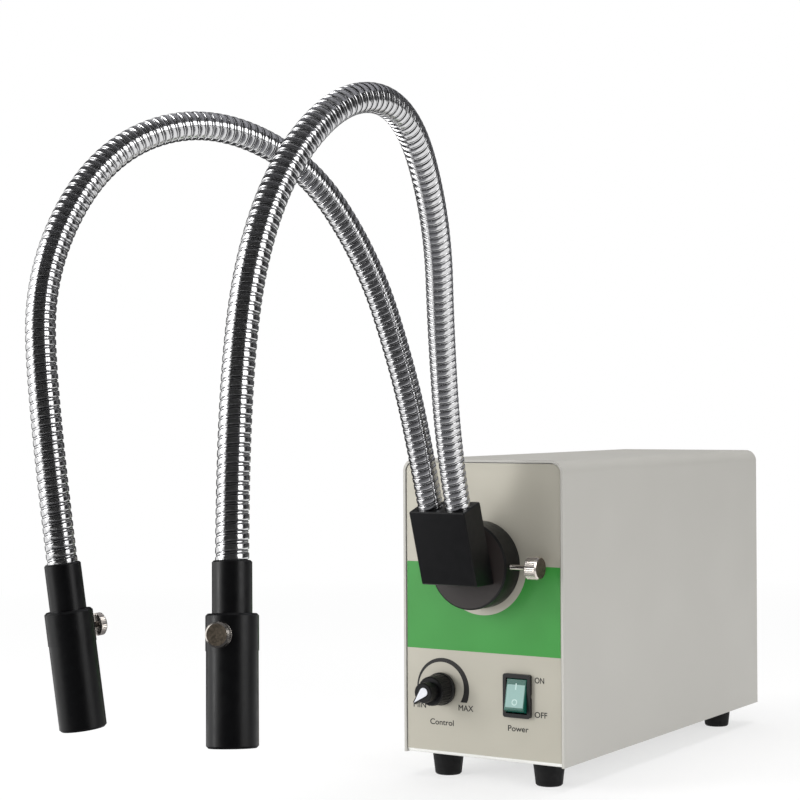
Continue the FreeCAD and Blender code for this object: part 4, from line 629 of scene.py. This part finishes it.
# %% [markdown]
# ### Metals inside the case
#
# Brackets are cut from galvanised sheet. Its zinc froze in crystals about five millimetres across, each a
# slightly different grey, which a Voronoi pattern gives with one grey to a cell. Small screws are plated
# with zinc and look duller than nickel. The transformer's core is a stack of varnished iron sheets. They
# are half a millimetre thick, too fine to show, so a wave pattern draws them in packs of about five
# millimetres. Modelling each sheet would add a hundred solids that nobody sees.

# %% Zinc, screws and iron
WAVE_SCALE = 2 * math.pi / 20  # a wave texture of this scale repeats once a metre

galvanised, tree, shader, place = finish("galvanised_sheet", "#A9ACAE", 0.38, 0.9)
spangle = add(tree, "ShaderNodeTexVoronoi", {"Vector": place, "Scale": 1 / (5 * MM)}).outputs["Color"]
add(tree, "ShaderNodeValToRGB", {"Fac": spangle}, stops=[(LOW, "#9EA1A4"), (HIGH, "#B6B9BB")],
    feeds=shader.inputs["Base Color"])
wear(galvanised, "heat_glass_holder", "lamp_bracket", "transformer_frame", "potentiometer_body")

zinc, tree, shader, place = finish("zinc_plated_steel", "#BDBDB8", 0.3, 1.0)
plated = add(tree, "ShaderNodeTexNoise", {"Vector": place, "Scale": 1 / (0.7 * MM), "Detail": 3})
add(tree, "ShaderNodeMapRange", {"Value": plated.outputs["Fac"], "From Min": LOW, "From Max": HIGH,
                                 "To Min": 0.22, "To Max": 0.4}, feeds=shader.inputs["Roughness"])
wear(zinc, "cover_screws", "foot_screws", "port_nut", "potentiometer_nut", "fan_screws")

core_iron, tree, shader, place = finish("varnished_core_iron", "#3A3836", 0.45, 0.6)
sheets = add(tree, "ShaderNodeTexWave", {"Vector": place, "Scale": WAVE_SCALE / (4.9348 * MM)},
             bands_direction="Y")
add(tree, "ShaderNodeBump", {"Height": sheets.outputs["Fac"], "Distance": 0.05 * MM, "Strength": 0.6},
    feeds=shader.inputs["Normal"])
wear(core_iron, "transformer_core")

# %% [markdown]
# ### Winding, board and components
#
# The coil is wrapped in yellow polyester tape about eight millimetres wide, whose laps show as soft ridges.
# The board is glass epoxy under a green solder mask, which is thinner over the weave and so a little
# mottled. The components wear blue plastic sleeves, shrunk on and glossy. A picture of a real board would
# show more, but these stand behind closed walls, so colour, gloss and one pattern each are enough.

# %% Tape, board and sleeves
coil_tape, tree, shader, place = finish("yellow_winding_tape", "#D1A63A", 0.32, IOR=1.6)
laps = add(tree, "ShaderNodeTexWave", {"Vector": place, "Scale": WAVE_SCALE / (7.8957 * MM)},
           bands_direction="Z")
add(tree, "ShaderNodeBump", {"Height": laps.outputs["Fac"], "Distance": 0.08 * MM, "Strength": 0.4},
    feeds=shader.inputs["Normal"])
wear(coil_tape, "transformer_coil")

solder_mask, tree, shader, place = finish("green_solder_mask", "#1E5B35", 0.28, IOR=1.55)
mask = add(tree, "ShaderNodeTexNoise", {"Vector": place, "Scale": 1 / (5 * MM), "Detail": 1})
add(tree, "ShaderNodeValToRGB", {"Fac": mask.outputs["Fac"]}, stops=[(LOW, "#1B5530"), (HIGH, "#226339")],
    feeds=shader.inputs["Base Color"])
wear(solder_mask, "dimmer_board")

blue_sleeve, tree, shader, place = finish("blue_sleeve", "#1F3A6E", 0.3, IOR=1.53)
shrunk = add(tree, "ShaderNodeTexNoise", {"Vector": place, "Scale": 1 / (3 * MM)})
add(tree, "ShaderNodeMapRange", {"Value": shrunk.outputs["Fac"], "From Min": LOW, "From Max": HIGH,
                                 "To Min": 0.25, "To Max": 0.38}, feeds=shader.inputs["Roughness"])
wear(blue_sleeve, "board_components")

finishes = {node.data.materials[0].name for node in nodes.values()}
print("finishes on the solids:", len(finishes))

# %% [markdown]
# ## Pieces that a plain solid can't show
#
# From here on, each piece is built in mesh code and placed by the same sizes as the solids; all but the
# hoses are told which body they move with. Modifiers could make some of them, such as a screw modifier for
# the threads, but a list of points and faces shows exactly where each surface lies and can follow any line.
# One function turns such lists into a piece.

# %% Make a piece
def piece(name, verts, faces, material, body, smooth=True, replaces=()):
    """A mesh piece that rides on a body and takes its finish from a slot."""
    made = bpy.data.meshes.new(name)
    made.from_pydata([tuple(v) for v in verts], [], faces)
    made.materials.append(material)
    made.validate()
    made.polygons.foreach_set("use_smooth", [smooth] * len(made.polygons))
    thing = bpy.data.objects.new(name, made)
    scene.collection.objects.link(thing)
    if body:
        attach(thing, body)
    if replaces:
        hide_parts(*replaces)
    return thing


# %% [markdown]
# ### The line of each neck
#
# A gooseneck holds the shape that hands gave it: out of the block, up and over, and down to the work. The
# line of each neck is a smooth spline through the places where it was bent. It could be drawn as straight
# runs with round corners, but a bent hose has no straight runs, and the spline hasn't either.
#
# The corners are measured from the top of the leaning block. Its sizes are those of the solids.

# %% The block and the corners of each neck
LABEL_FACE, SILL = -116.4 * MM, 11.5 * MM
PORT = Vector((0, LABEL_FACE, SILL + 93.2 * MM))
BLOCK_LEAN = math.radians(18)
BLOCK_UP = Vector((0, -math.sin(BLOCK_LEAN), math.cos(BLOCK_LEAN)))
BLOCK_FORWARD = Vector((0, -math.cos(BLOCK_LEAN), -math.sin(BLOCK_LEAN)))
BLOCK_LENGTH, BLOCK_THICK, BLOCK_BELOW_AXIS = 41.2, 15.5, 7.9  # these are all in millimetres
COLLAR_THICK, BLOCK_GAP = 13.5, 0.4
NECK_SPACING, NECK_SEAT, NECK_ROOT_RUN = 14.8, 8, 24
BLOCK_FOOT = PORT - Vector((0, (COLLAR_THICK + BLOCK_GAP) * MM, BLOCK_BELOW_AXIS * MM))
BLOCK_TOP = BLOCK_FOOT + BLOCK_UP * BLOCK_LENGTH * MM + BLOCK_FORWARD * (BLOCK_THICK / 2) * MM
NECK_CORNERS = {  # millimetres from the middle of the block's top
    "left": [(-7, -23, 62), (-11.5, -45, 112.5), (-22, -79, 153.5), (-41.5, -125, 168.5), (-61, -165, 150.5),
             (-67.5, -195, 102), (-61.5, -200, 48), (-53, -196, -26)],
    "right": [(18.5, -32, 76), (36, -63, 126), (51, -111, 167.5), (48.5, -154, 165.5), (41, -191, 125),
              (41.5, -212, 58), (47.5, -220, -19.5)],
}
NECK_JOINTS = {"left": [2, 4, 7], "right": [2, 4, 6]}  # the corners after which each neck bends


def neck_corners(side):
    """The corner points of one neck's line, from its seat in the block to its end."""
    socket = BLOCK_TOP + Vector(((-1 if side == "left" else 1) * NECK_SPACING * MM / 2, 0, 0))
    bends = [BLOCK_TOP + Vector(corner) * MM for corner in NECK_CORNERS[side]]
    return [socket - BLOCK_UP * NECK_SEAT * MM, socket + BLOCK_UP * NECK_ROOT_RUN * MM] + bends


print("corners:", ", ".join(f"{len(neck_corners(side))} {side}" for side in NECK_CORNERS))

# %% [markdown]
# Blender works out a spline when a curve is turned into a mesh. A curve without thickness gives just the
# points along its line, and they are all that is needed from it.

# %% Points along the spline
SPLINE_STEPS = 40  # points between two corners


def spline_points(name, corners):
    """Points along the smooth spline that the corners control."""
    line = bpy.data.curves.new(name, "CURVE")
    line.dimensions = "3D"
    line.resolution_u = SPLINE_STEPS
    spline = line.splines.new("NURBS")
    spline.points.add(len(corners) - 1)
    for point, corner in zip(spline.points, corners):
        point.co = (*corner, 1)
    spline.order_u = 3
    spline.use_endpoint_u = True
    holder = bpy.data.objects.new(name, line)
    scene.collection.objects.link(holder)
    drawn = bpy.data.meshes.new_from_object(holder)
    points = [v.co.copy() for v in drawn.vertices]
    bpy.data.objects.remove(holder)
    return points


neck_lines = {side: spline_points(side + "_line", neck_corners(side)) for side in NECK_CORNERS}
for side, line in neck_lines.items():
    print(side, "neck:", round(sum((b - a).length for a, b in zip(line, line[1:])) * 1000), "mm")

# %% [markdown]
# ### A helix along a line
#
# To wind something round a line, one needs two directions square to it at every point. Taking them from a
# fixed axis makes the surface flip where the line turns past that axis. So one direction is chosen at the
# start and carried along, turned at each point only as far as the line itself turns.

# %% Carry a direction along a line
def frames_along(points):
    """Length along the line, direction, and two cross directions at each point, without twist."""
    directions = [(points[min(k + 1, len(points) - 1)] - points[max(k - 1, 0)]).normalized()
                  for k in range(len(points))]
    across = directions[0].cross(Vector((0, 1, 0))).normalized()
    lengths, first, second = [0.0], [across], [directions[0].cross(across)]
    for k in range(1, len(points)):
        lengths.append(lengths[-1] + (points[k] - points[k - 1]).length)
        across = directions[k - 1].rotation_difference(directions[k]) @ across
        across = (across - directions[k] * across.dot(directions[k])).normalized()
        first.append(across)
        second.append(directions[k].cross(across))
    return lengths, directions, first, second


def look_up(lengths, wanted):
    """The stretch of a line that holds a length, and how far into the stretch that length lies."""
    low, high = 0, len(lengths) - 1
    while high - low > 1:
        middle = (low + high) // 2
        low, high = (middle, high) if lengths[middle] <= wanted else (low, middle)
    return low, max(0.0, min(1.0, (wanted - lengths[low]) / (lengths[high] - lengths[low])))


left_lengths = frames_along(neck_lines["left"])[0]
print("halfway up the left neck is stretch", look_up(left_lengths, left_lengths[-1] / 2)[0])

# %% [markdown]
# The surface is made of rows of points. A row goes once round the line and one pitch forward, like a turn
# of a thread, and the profile says how deep each row lies. The next turn's first row lies where this turn's
# last row ends, so their points are doubled. Welding them makes one closed skin.

# %% A surface wound round a line
WELD_DISTANCE = 0.004 * MM


def wound(line, radius, pitch, first_turn, last_turn, profile, sides):
    """Points and faces of a helical surface. The profile has a share of a turn and a depth in millimetres."""
    lengths, directions, first, second = frames_along(line)
    rows = [(turn + share, depth) for turn in range(first_turn, last_turn) for share, depth in profile]
    rows.append((last_turn, profile[0][1]))
    verts, faces = [], []
    for turn, depth in rows:
        for k in range(sides + 1):
            angle = 2 * math.pi * k / sides
            low, share = look_up(lengths, (turn + k / sides) * pitch)
            u = first[low].lerp(first[low + 1], share)
            v = second[low].lerp(second[low + 1], share)
            out = (u * math.cos(angle) + v * math.sin(angle)).normalized()
            verts.append(line[low].lerp(line[low + 1], share) + out * (radius - depth * MM))
    around = sides + 1
    for row in range(len(rows) - 1):
        for k in range(sides):
            a = row * around + k
            faces.append((a, a + 1, a + around + 1, a + around))
    return verts, faces


def weld_seam(thing):
    """Joins the doubled points where each turn meets the next, and turns the faces outward."""
    weld = bmesh.new()
    weld.from_mesh(thing.data)
    bmesh.ops.remove_doubles(weld, verts=weld.verts, dist=WELD_DISTANCE)
    bmesh.ops.recalc_face_normals(weld, faces=weld.faces)
    weld.to_mesh(thing.data)
    weld.free()


trial = wound([Vector((0, 0, 0)), Vector((0, 0, 4 * MM))], 2 * MM, 1 * MM, 0, 3, [(0.0, 0.1), (0.5, 0.0)], 8)
print("three turns of two rows:", len(trial[0]), "points and", len(trial[1]), "faces")

# %% [markdown]
# ### Goosenecks
#
# The hose is a strip of steel rolled to a channel and wound so that each turn hooks into the last. Seen
# from the outside that is a wide crowned band, a thin dark gap, a narrow band that lies lower, another gap,
# and so on in one long helix of 3.4 mm pitch. A bump map can't give the scalloped outline, and a row of
# separate rings would lack the slant, so the helix is real mesh. Nineteen rows make a turn, closer together
# where the strip bends.
#
# Each neck has three stretches, one for each joint.

# %% One stretch of hose
HOSE_R, HOSE_PITCH, HOSE_SIDES = 6.0 * MM, 3.42 * MM, 32
HOSE_PROFILE = [  # share of a turn, depth in millimetres
    (0.0, 0.55), (0.04, 0.5), (0.05, 0.16), (0.075, 0.07), (0.15, 0.022), (0.25, 0.006), (0.37, 0.0),
    (0.49, 0.006), (0.59, 0.022), (0.665, 0.07), (0.69, 0.16), (0.7, 0.5),  # the wide band and its two edges
    (0.74, 0.55),  # the gap
    (0.78, 0.5), (0.79, 0.34), (0.815, 0.32), (0.925, 0.32), (0.95, 0.34), (0.96, 0.5),  # the narrow band
]
GROOVE_DEPTH = 0.44  # what lies deeper than this many millimetres is the hooked edge


def wind_hose(name, side, start, finish_at, replaces):
    """A stretch of wound hose between two lengths along its neck."""
    turns = round(start / HOSE_PITCH), round(finish_at / HOSE_PITCH)
    verts, faces = wound(neck_lines[side], HOSE_R, HOSE_PITCH, *turns, HOSE_PROFILE, HOSE_SIDES)
    hose = piece(name, verts, faces, hose_steel, None, replaces=replaces)
    hose.data.materials.append(groove_painted_shade)
    # Faces in the gaps take the painted shade.
    for face in hose.data.polygons:
        step = face.index // HOSE_SIDES % len(HOSE_PROFILE)
        depths = HOSE_PROFILE[step][1], HOSE_PROFILE[(step + 1) % len(HOSE_PROFILE)][1]
        face.material_index = int(sum(depths) / 2 > GROOVE_DEPTH)
    weld_seam(hose)
    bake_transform(hose)
    print(name, turns[1] - turns[0], "turns,", len(hose.data.polygons), "faces")


print("rows in a turn:", len(HOSE_PROFILE))

# %% [markdown]
# The stretches meet halfway between two joints, at a whole number of turns, so that one's last row lies on
# the next one's first. Each stands for the plain tubes that the solids have there.

# %% Wind both necks
for side in ("left", "right"):
    corners = neck_corners(side)
    line = neck_lines[side]
    lengths = frames_along(line)[0]
    joints = [(corners[k] + corners[k + 1]) / 2 for k in NECK_JOINTS[side]]
    nearest = [min(range(len(line)), key=lambda n: (line[n] - joint).length) for joint in joints]
    at = [lengths[n] for n in nearest]
    cuts = [0.0, (at[0] + at[1]) / 2, (at[1] + at[2]) / 2, lengths[-1]]
    stands_for = [("neck_roots", side + "_neck_rise"), (side + "_neck_drop",), (side + "_neck_tip",)]
    for k, part in enumerate(("lower", "crown", "upper")):
        wind_hose(side + "_hose_" + part, side, cuts[k], cuts[k + 1],
                  stands_for[k])

# %% [markdown]
# ### Ink on the label
#
# The label is screen printed. The ink is a skin of dried paint a few hundredths of a millimetre thick,
# flatter and less metallic than the plate, with the screen's mesh just visible as a change of gloss. It
# could be a mask in the plate's own material, but a mask needs a picture or a long formula for every
# letter. Thin sheets just in front of the plate are simple to draw, and keep their edges sharp at any
# distance.

# %% Inks
INK, INK_LAYER = LABEL_FACE - 0.04 * MM, 0.004 * MM  # the ink's face, and the thickness of one more layer

green_ink, tree, shader, place = finish("green_screen_ink", "#38923A", 0.4, IOR=1.5)
film = add(tree, "ShaderNodeTexNoise", {"Vector": place, "Scale": 1 / (22 * MM), "Detail": 1})
add(tree, "ShaderNodeValToRGB", {"Fac": film.outputs["Fac"]}, stops=[(LOW, "#368F38"), (HIGH, "#3A953D")],
    feeds=shader.inputs["Base Color"])
screen = add(tree, "ShaderNodeTexNoise", {"Vector": place, "Scale": 1 / (0.8 * MM)})
add(tree, "ShaderNodeMapRange", {"Value": screen.outputs["Fac"], "From Min": LOW, "From Max": HIGH,
                                 "To Min": 0.36, "To Max": 0.46}, feeds=shader.inputs["Roughness"])

black_ink, tree, shader, place = finish("black_screen_ink", "#1C1A19", 0.5, IOR=1.5)
film = add(tree, "ShaderNodeTexNoise", {"Vector": place, "Scale": 1 / (1.5 * MM)})
add(tree, "ShaderNodeValToRGB", {"Fac": film.outputs["Fac"]}, stops=[(LOW, "#191716"), (HIGH, "#1F1D1C")],
    feeds=shader.inputs["Base Color"])
print("inks:", green_ink.name, "and", black_ink.name)

# %% [markdown]
# ### The green band
#
# The band runs across the plate, with a bare ring left round the light port. Cutting a round hole out of a
# sheet with a boolean works too, but it leaves long thin faces. Here the upper edge is a row of points that
# dips along the ring, the lower edge is a row of as many points straight below, and quads join the two.

# %% Print the green band
BAND_LOW, BAND_HALF, BARE_RING_R, RING_STEPS = 62.55 * MM, 42.25 * MM, 24.4 * MM, 64


def ink_strip(name, tops, bottoms, material):
    """A printed strip of quads between an upper and a lower row of (x, z) points."""
    count = len(tops)
    verts = [(x, INK, z) for x, z in tops + bottoms]
    faces = [(k, count + k, count + k + 1, k + 1) for k in range(count - 1)]
    return piece(name, verts, faces, material, "case", smooth=False)


under_ring = [math.pi * (1 + k / RING_STEPS) for k in range(RING_STEPS + 1)]
notch = [(BARE_RING_R * math.cos(a), PORT.z + BARE_RING_R * math.sin(a)) for a in under_ring]
band_top = [(-BAND_HALF, PORT.z)] + notch + [(BAND_HALF, PORT.z)]
band = ink_strip("green_band", band_top, [(x, BAND_LOW) for x, z in band_top], green_ink)
print("green band:", round((PORT.z - BAND_LOW) * 1000, 1), "mm high,", len(band.data.polygons), "faces")

# %% [markdown]
# ### The intensity scale
#
# A wedge-shaped arc grows round the knob from MIN to MAX, where it is cut off level. It is a strip like the
# band, between an outer row on a circle and an inner row whose radius shrinks along the way. The inner row
# goes a little further round than the outer one, which makes the level cut.

# %% The growing arc
KNOB = Vector((-22.1 * MM, LABEL_FACE, SILL + 32.3 * MM))
ARC_R, ARC_THICK, ARC_THIN, ARC_STEPS = 14.7 * MM, 3.3 * MM, 0.25 * MM, 72
ARC_FROM, ARC_TO_OUTSIDE, ARC_TO_INSIDE = (math.radians(a) for a in (206, -24, -31.7))
ARC_GROWTH = 0.8  # one would grow evenly, less than one grows sooner

outer, inner = [], []
for k in range(ARC_STEPS + 1):
    share = k / ARC_STEPS
    inside_r = ARC_R - ARC_THIN - (ARC_THICK - ARC_THIN) * share**ARC_GROWTH
    for row, r, last in ((outer, ARC_R, ARC_TO_OUTSIDE), (inner, inside_r, ARC_TO_INSIDE)):
        a = ARC_FROM + (last - ARC_FROM) * share
        row.append((KNOB.x + r * math.cos(a), KNOB.z + r * math.sin(a)))
arc = ink_strip("intensity_arc", outer, inner, black_ink)
print("arc:", len(arc.data.polygons), "faces, growing to", round(ARC_THICK * 1000, 1), "mm")

# %% [markdown]
# ### Words on the label
#
# Words name the knob and the switch. They could be drawn as flat shapes by hand, but Blender's own plain
# typeface already has even strokes. Each word is typed as text, turned to mesh and stood up against the
# plate. Ink spreads a little when it is pressed through the screen, so each word is laid down four times,
# each a few hundredths of a millimetre to one side. That thickens its strokes and leaves the hollows of its
# letters open.

# %% A printed word
CAP_SHARE = 0.729  # of the typeface's size that a capital letter is tall
INK_SPREAD = 0.06 * MM  # that a screen print adds to each side of a stroke
NUDGES = ((-1, 0), (1, 0), (0, -1), (0, 1))  # left, right, down and up


def word(text, x, z, cap_height, width):
    """A printed word with its middle at (x, z), its capitals cap_height tall, stretched to its width."""
    letters = bpy.data.curves.new("word", "FONT")
    letters.body = text
    letters.size = cap_height / CAP_SHARE
    holder = bpy.data.objects.new("word", letters)
    scene.collection.objects.link(holder)
    flat = bpy.data.meshes.new_from_object(holder)
    bpy.data.objects.remove(holder)
    left, right = min(v.co.x for v in flat.vertices), max(v.co.x for v in flat.vertices)
    low = min(v.co.y for v in flat.vertices)
    stretch = width / (right - left)
    drawn = [(x + (v.co.x - (left + right) / 2) * stretch, z + v.co.y - low - cap_height / 2)
             for v in flat.vertices]
    verts, faces = [], []
    for layer, (across, up) in enumerate(NUDGES):
        faces += [[len(verts) + k for k in face.vertices] for face in flat.polygons]
        verts += [(a + across * INK_SPREAD, INK - layer * INK_LAYER, b + up * INK_SPREAD) for a, b in drawn]
    piece("print_" + text.lower(), verts, faces, black_ink, "case", smooth=False)
    print(text, "is", round(width * 1000, 1), "mm wide,", len(faces), "faces")


WORDS = [  # text, middle from the case's middle, height over the case's base, capitals' height, width
    ("MIN", -35.4, 23.6, 2.9, 7.0),
    ("MAX", -9.3, 23.8, 2.9, 8.1),
    ("Control", -22.8, 16.0, 2.8, 13.2),
    ("Power", 19.4, 16.4, 2.8, 11.0),
    ("ON", 30.9, 39.9, 2.8, 4.9),
    ("OFF", 31.6, 23.8, 2.8, 6.6),
]
for text, x, up, cap_height, width in WORDS:
    word(text, x * MM, SILL + up * MM, cap_height * MM, width * MM)

# %% [markdown]
# ### Marks on the rocker
#
# A line on the upper half says on, and a ring on the lower half says off. On the real switch they are paint
# in shallow hollows of the frosted face, pale and a little cloudy. Cutting hollows would mean replacing the
# rocker's solid for two small marks, so they are thin strips that lie on the face, turned with it, and ride
# on the rocker.

# %% White marks on the rocker
ROCKER_FACE_OUT, MARK_PROUD = 3.6 * MM, 0.03 * MM
MARK_STEPS = 32

mark_paint, tree, shader, place = finish("white_mark_paint", "#BFD8D3", 0.5, IOR=1.5)
cloudy = add(tree, "ShaderNodeTexNoise", {"Vector": place, "Scale": 1 / (0.8 * MM)})
add(tree, "ShaderNodeValToRGB", {"Fac": cloudy.outputs["Fac"]}, stops=[(LOW, "#B8D2CD"), (HIGH, "#C6DDD9")],
    feeds=shader.inputs["Base Color"])
on_face = Matrix.Translation(ROCKER_AXIS) @ Matrix.Rotation(-ROCKER_TILT, 4, "X")


def mark(name, one_edge, other_edge):
    """A thin mark on the rocker's face between two rows of (x, up) points in millimetres."""
    count = len(one_edge)
    front = -ROCKER_FACE_OUT - MARK_PROUD
    verts = [on_face @ Vector((x * MM, front, up * MM)) for x, up in one_edge + other_edge]
    faces = [(k, count + k, count + k + 1, k + 1) for k in range(count - 1)]
    piece(name, verts, faces, mark_paint, "rocker", smooth=False)
    print(name, "has", len(faces), "faces")


def circle(radius, middle):
    """A row of (x, up) points round a circle, in millimetres."""
    angles = [2 * math.pi * k / MARK_STEPS for k in range(MARK_STEPS + 1)]
    return [(radius * math.cos(a), radius * math.sin(a) + middle) for a in angles]


mark("mark_off", circle(1.5, -3.6), circle(1.0, -3.6))
mark("mark_on", [(-0.3, 5.3), (0.3, 5.3)], [(-0.3, 2.3), (0.3, 2.3)])

# %% [markdown]
# ### Threads of the clamp screws
#
# Three clamp screws hold the light guide and the two lens heads. Each has a fine thread and a knurled head.
# A thread is the same kind of helix as the hose, only straight and sharp: half a millimetre from crest to
# crest, and a sixth of a millimetre deep, about half as deep as the real one. It is drawn 2.5 mm across,
# slimmer than the 3 mm rod that the solids have, so that each head stands out clearly from its stem.
#
# The joints of the frame say where each screw sits and which way it points.

# %% Cut the threads
THREAD_PROFILE = [(0.0, 0.16), (0.14, 0.16), (0.44, 0.0), (0.56, 0.0), (0.86, 0.16)]
THREAD_PITCH, THREAD_R, THREAD_SIDES = 0.5 * MM, 1.25 * MM, 20
THREAD_INSET = 0.05 * MM  # that each end of a thread stays inside its rod

screws = {}
for joint in frame["joints"]:
    if joint["name"].endswith("_turn"):
        name = joint["name"].removesuffix("_turn")
        screws[name] = Vector(joint["pos_m"]), Vector(joint["axis"]).normalized()


def cut_thread(name, body):
    """A threaded stem that stands in for a screw's plain rod and moves with its body."""
    base, out = screws[name]
    rod = name + "_stud"
    reach = [(v.co - base).dot(out) for v in nodes[rod].data.vertices]
    low, high = base + out * (min(reach) + THREAD_INSET), base + out * (max(reach) - THREAD_INSET)
    turns = int((high - low).length / THREAD_PITCH) - 1
    verts, faces = wound([low, high], THREAD_R, THREAD_PITCH, 0, turns, THREAD_PROFILE, THREAD_SIDES)
    thread = piece(name + "_thread", verts, faces, nickel, body, smooth=False, replaces=[rod])
    weld_seam(thread)
    print(thread.name, "has", turns, "turns")


cut_thread("port_screw", "port_screw")
cut_thread("left_lens_screw", "left_screw")
cut_thread("right_lens_screw", "right_screw")

# %% [markdown]
# ### The dull end of each head
#
# The end face of a head is turned on a lathe and left dull. Its colour is a dark brownish grey, a painted
# shade, darker than the nickel of the rim. A plain rough metal would still flash when it faces a lamp, so
# this
# finish is only partly metallic: it scatters about as much light as it mirrors.

# %% The dull end, in painted shade
turned_end, tree, shader, place = finish("nickel_turned_end", "#554C42", 0.42, 0.6)
# Painted shade, mottled between a darker and a paler brownish grey.
end_shade_mottle = add(tree, "ShaderNodeTexNoise", {"Vector": place, "Scale": 1 / (0.9 * MM), "Detail": 3})
add(tree, "ShaderNodeValToRGB", {"Fac": end_shade_mottle.outputs["Fac"]}, stops=[(LOW, "#3F382F"), (HIGH, "#6A6053")],
    feeds=shader.inputs["Base Color"])
lathe = add(tree, "ShaderNodeTexNoise", {"Vector": place, "Scale": 1 / (0.5 * MM)})
add(tree, "ShaderNodeMapRange", {"Value": lathe.outputs["Fac"], "From Min": LOW, "From Max": HIGH,
                                 "To Min": 0.34, "To Max": 0.5}, feeds=shader.inputs["Roughness"])
print(turned_end.name, "is for the ends of the heads")

# %% [markdown]
# ### Knurled heads
#
# A straight knurl is rolled into the rim of each head, so that dry fingers can grip it. The head is a lathe
# turning: a row of rings along the axis, each ring pushed in and out by a cosine where the knurl runs.
# Cutting forty grooves with booleans would do as well, but far more slowly. Both edges are turned off after
# knurling and stay smooth, and the end is dished a little.

# %% The rings of a head
KNURLS, POINTS_A_KNURL, KNURL_DEPTH = 40, 4, 0.13 * MM
HEAD_EDGE, EDGE_SHOULDER, SHOULDER_STEP = 0.7 * MM, 0.56 * MM, 0.02 * MM
DISH, DISH_RINGS = 0.12 * MM, (0.9, 0.66, 0.42, 0.18)  # how deep, and at which shares of the radius


def head_rings(low, high, radius):
    """Rings of a head along its axis: a place, a radius, and whether the knurl runs there."""
    rings = [(low, radius - HEAD_EDGE, False), (low + EDGE_SHOULDER, radius - SHOULDER_STEP, False)]
    rings += [(low + HEAD_EDGE, radius, True), (high - HEAD_EDGE, radius, True)]
    rings += [(high - EDGE_SHOULDER, radius - SHOULDER_STEP, False), (high, radius - HEAD_EDGE, False)]
    return rings + [(high - DISH * (1 - r * r), (radius - HEAD_EDGE) * r, False) for r in DISH_RINGS]


def knurl_points(base, out, rings):
    """The points of all rings round an axis, and the number of points in a ring."""
    across = out.orthogonal().normalized()
    around = out.cross(across)
    count = KNURLS * POINTS_A_KNURL
    verts = []
    for along, r, knurled in rings:
        for k in range(count):
            angle = 2 * math.pi * k / count
            cut = knurled * KNURL_DEPTH * (0.5 - 0.5 * math.cos(angle * KNURLS))
            way = across * math.cos(angle) + around * math.sin(angle)
            verts.append(base + out * along + way * (r - cut))
    return verts, count


print("a head has", len(head_rings(0, 5 * MM, 5 * MM)), "rings of", KNURLS * POINTS_A_KNURL, "points")

# %% [markdown]
# The rings are joined into quads, and a many-sided face closes each end. Everything beyond the last edge,
# on the outer end, gets the dull finish with its painted shade.

# %% Turn and knurl the heads
def knurled_head(name, body):
    """A knurled head that stands in for a screw's plain one, with a dished end."""
    base, out = screws[name]
    solid = name + "_head"
    points = [v.co - base for v in nodes[solid].data.vertices]
    low, high = min(p.dot(out) for p in points), max(p.dot(out) for p in points)
    radius = max((p - out * p.dot(out)).length for p in points)
    rings = head_rings(low, high, radius)
    verts, count = knurl_points(base, out, rings)
    faces = []
    for row in range(len(rings) - 1):
        for k in range(count):
            a, b = row * count + k, row * count + (k + 1) % count
            faces.append((a, b, b + count, a + count))
    faces.append(tuple(reversed(range(count))))
    faces.append(tuple(range((len(rings) - 1) * count, len(rings) * count)))
    head = piece(name + "_knurled_head", verts, faces, nickel, body, smooth=False,
                 replaces=[solid])
    head.data.materials.append(turned_end)
    first_end_face = (len(rings) - 1 - len(DISH_RINGS)) * count
    for face in head.data.polygons:
        face.material_index = int(face.index >= first_end_face and face.index != len(faces) - 2)
    print(head.name, "is", round(radius * 2000, 1), "mm across with", KNURLS, "knurls")


knurled_head("port_screw", "port_screw_grip")
knurled_head("left_lens_screw", "left_screw_grip")
knurled_head("right_lens_screw", "right_screw_grip")
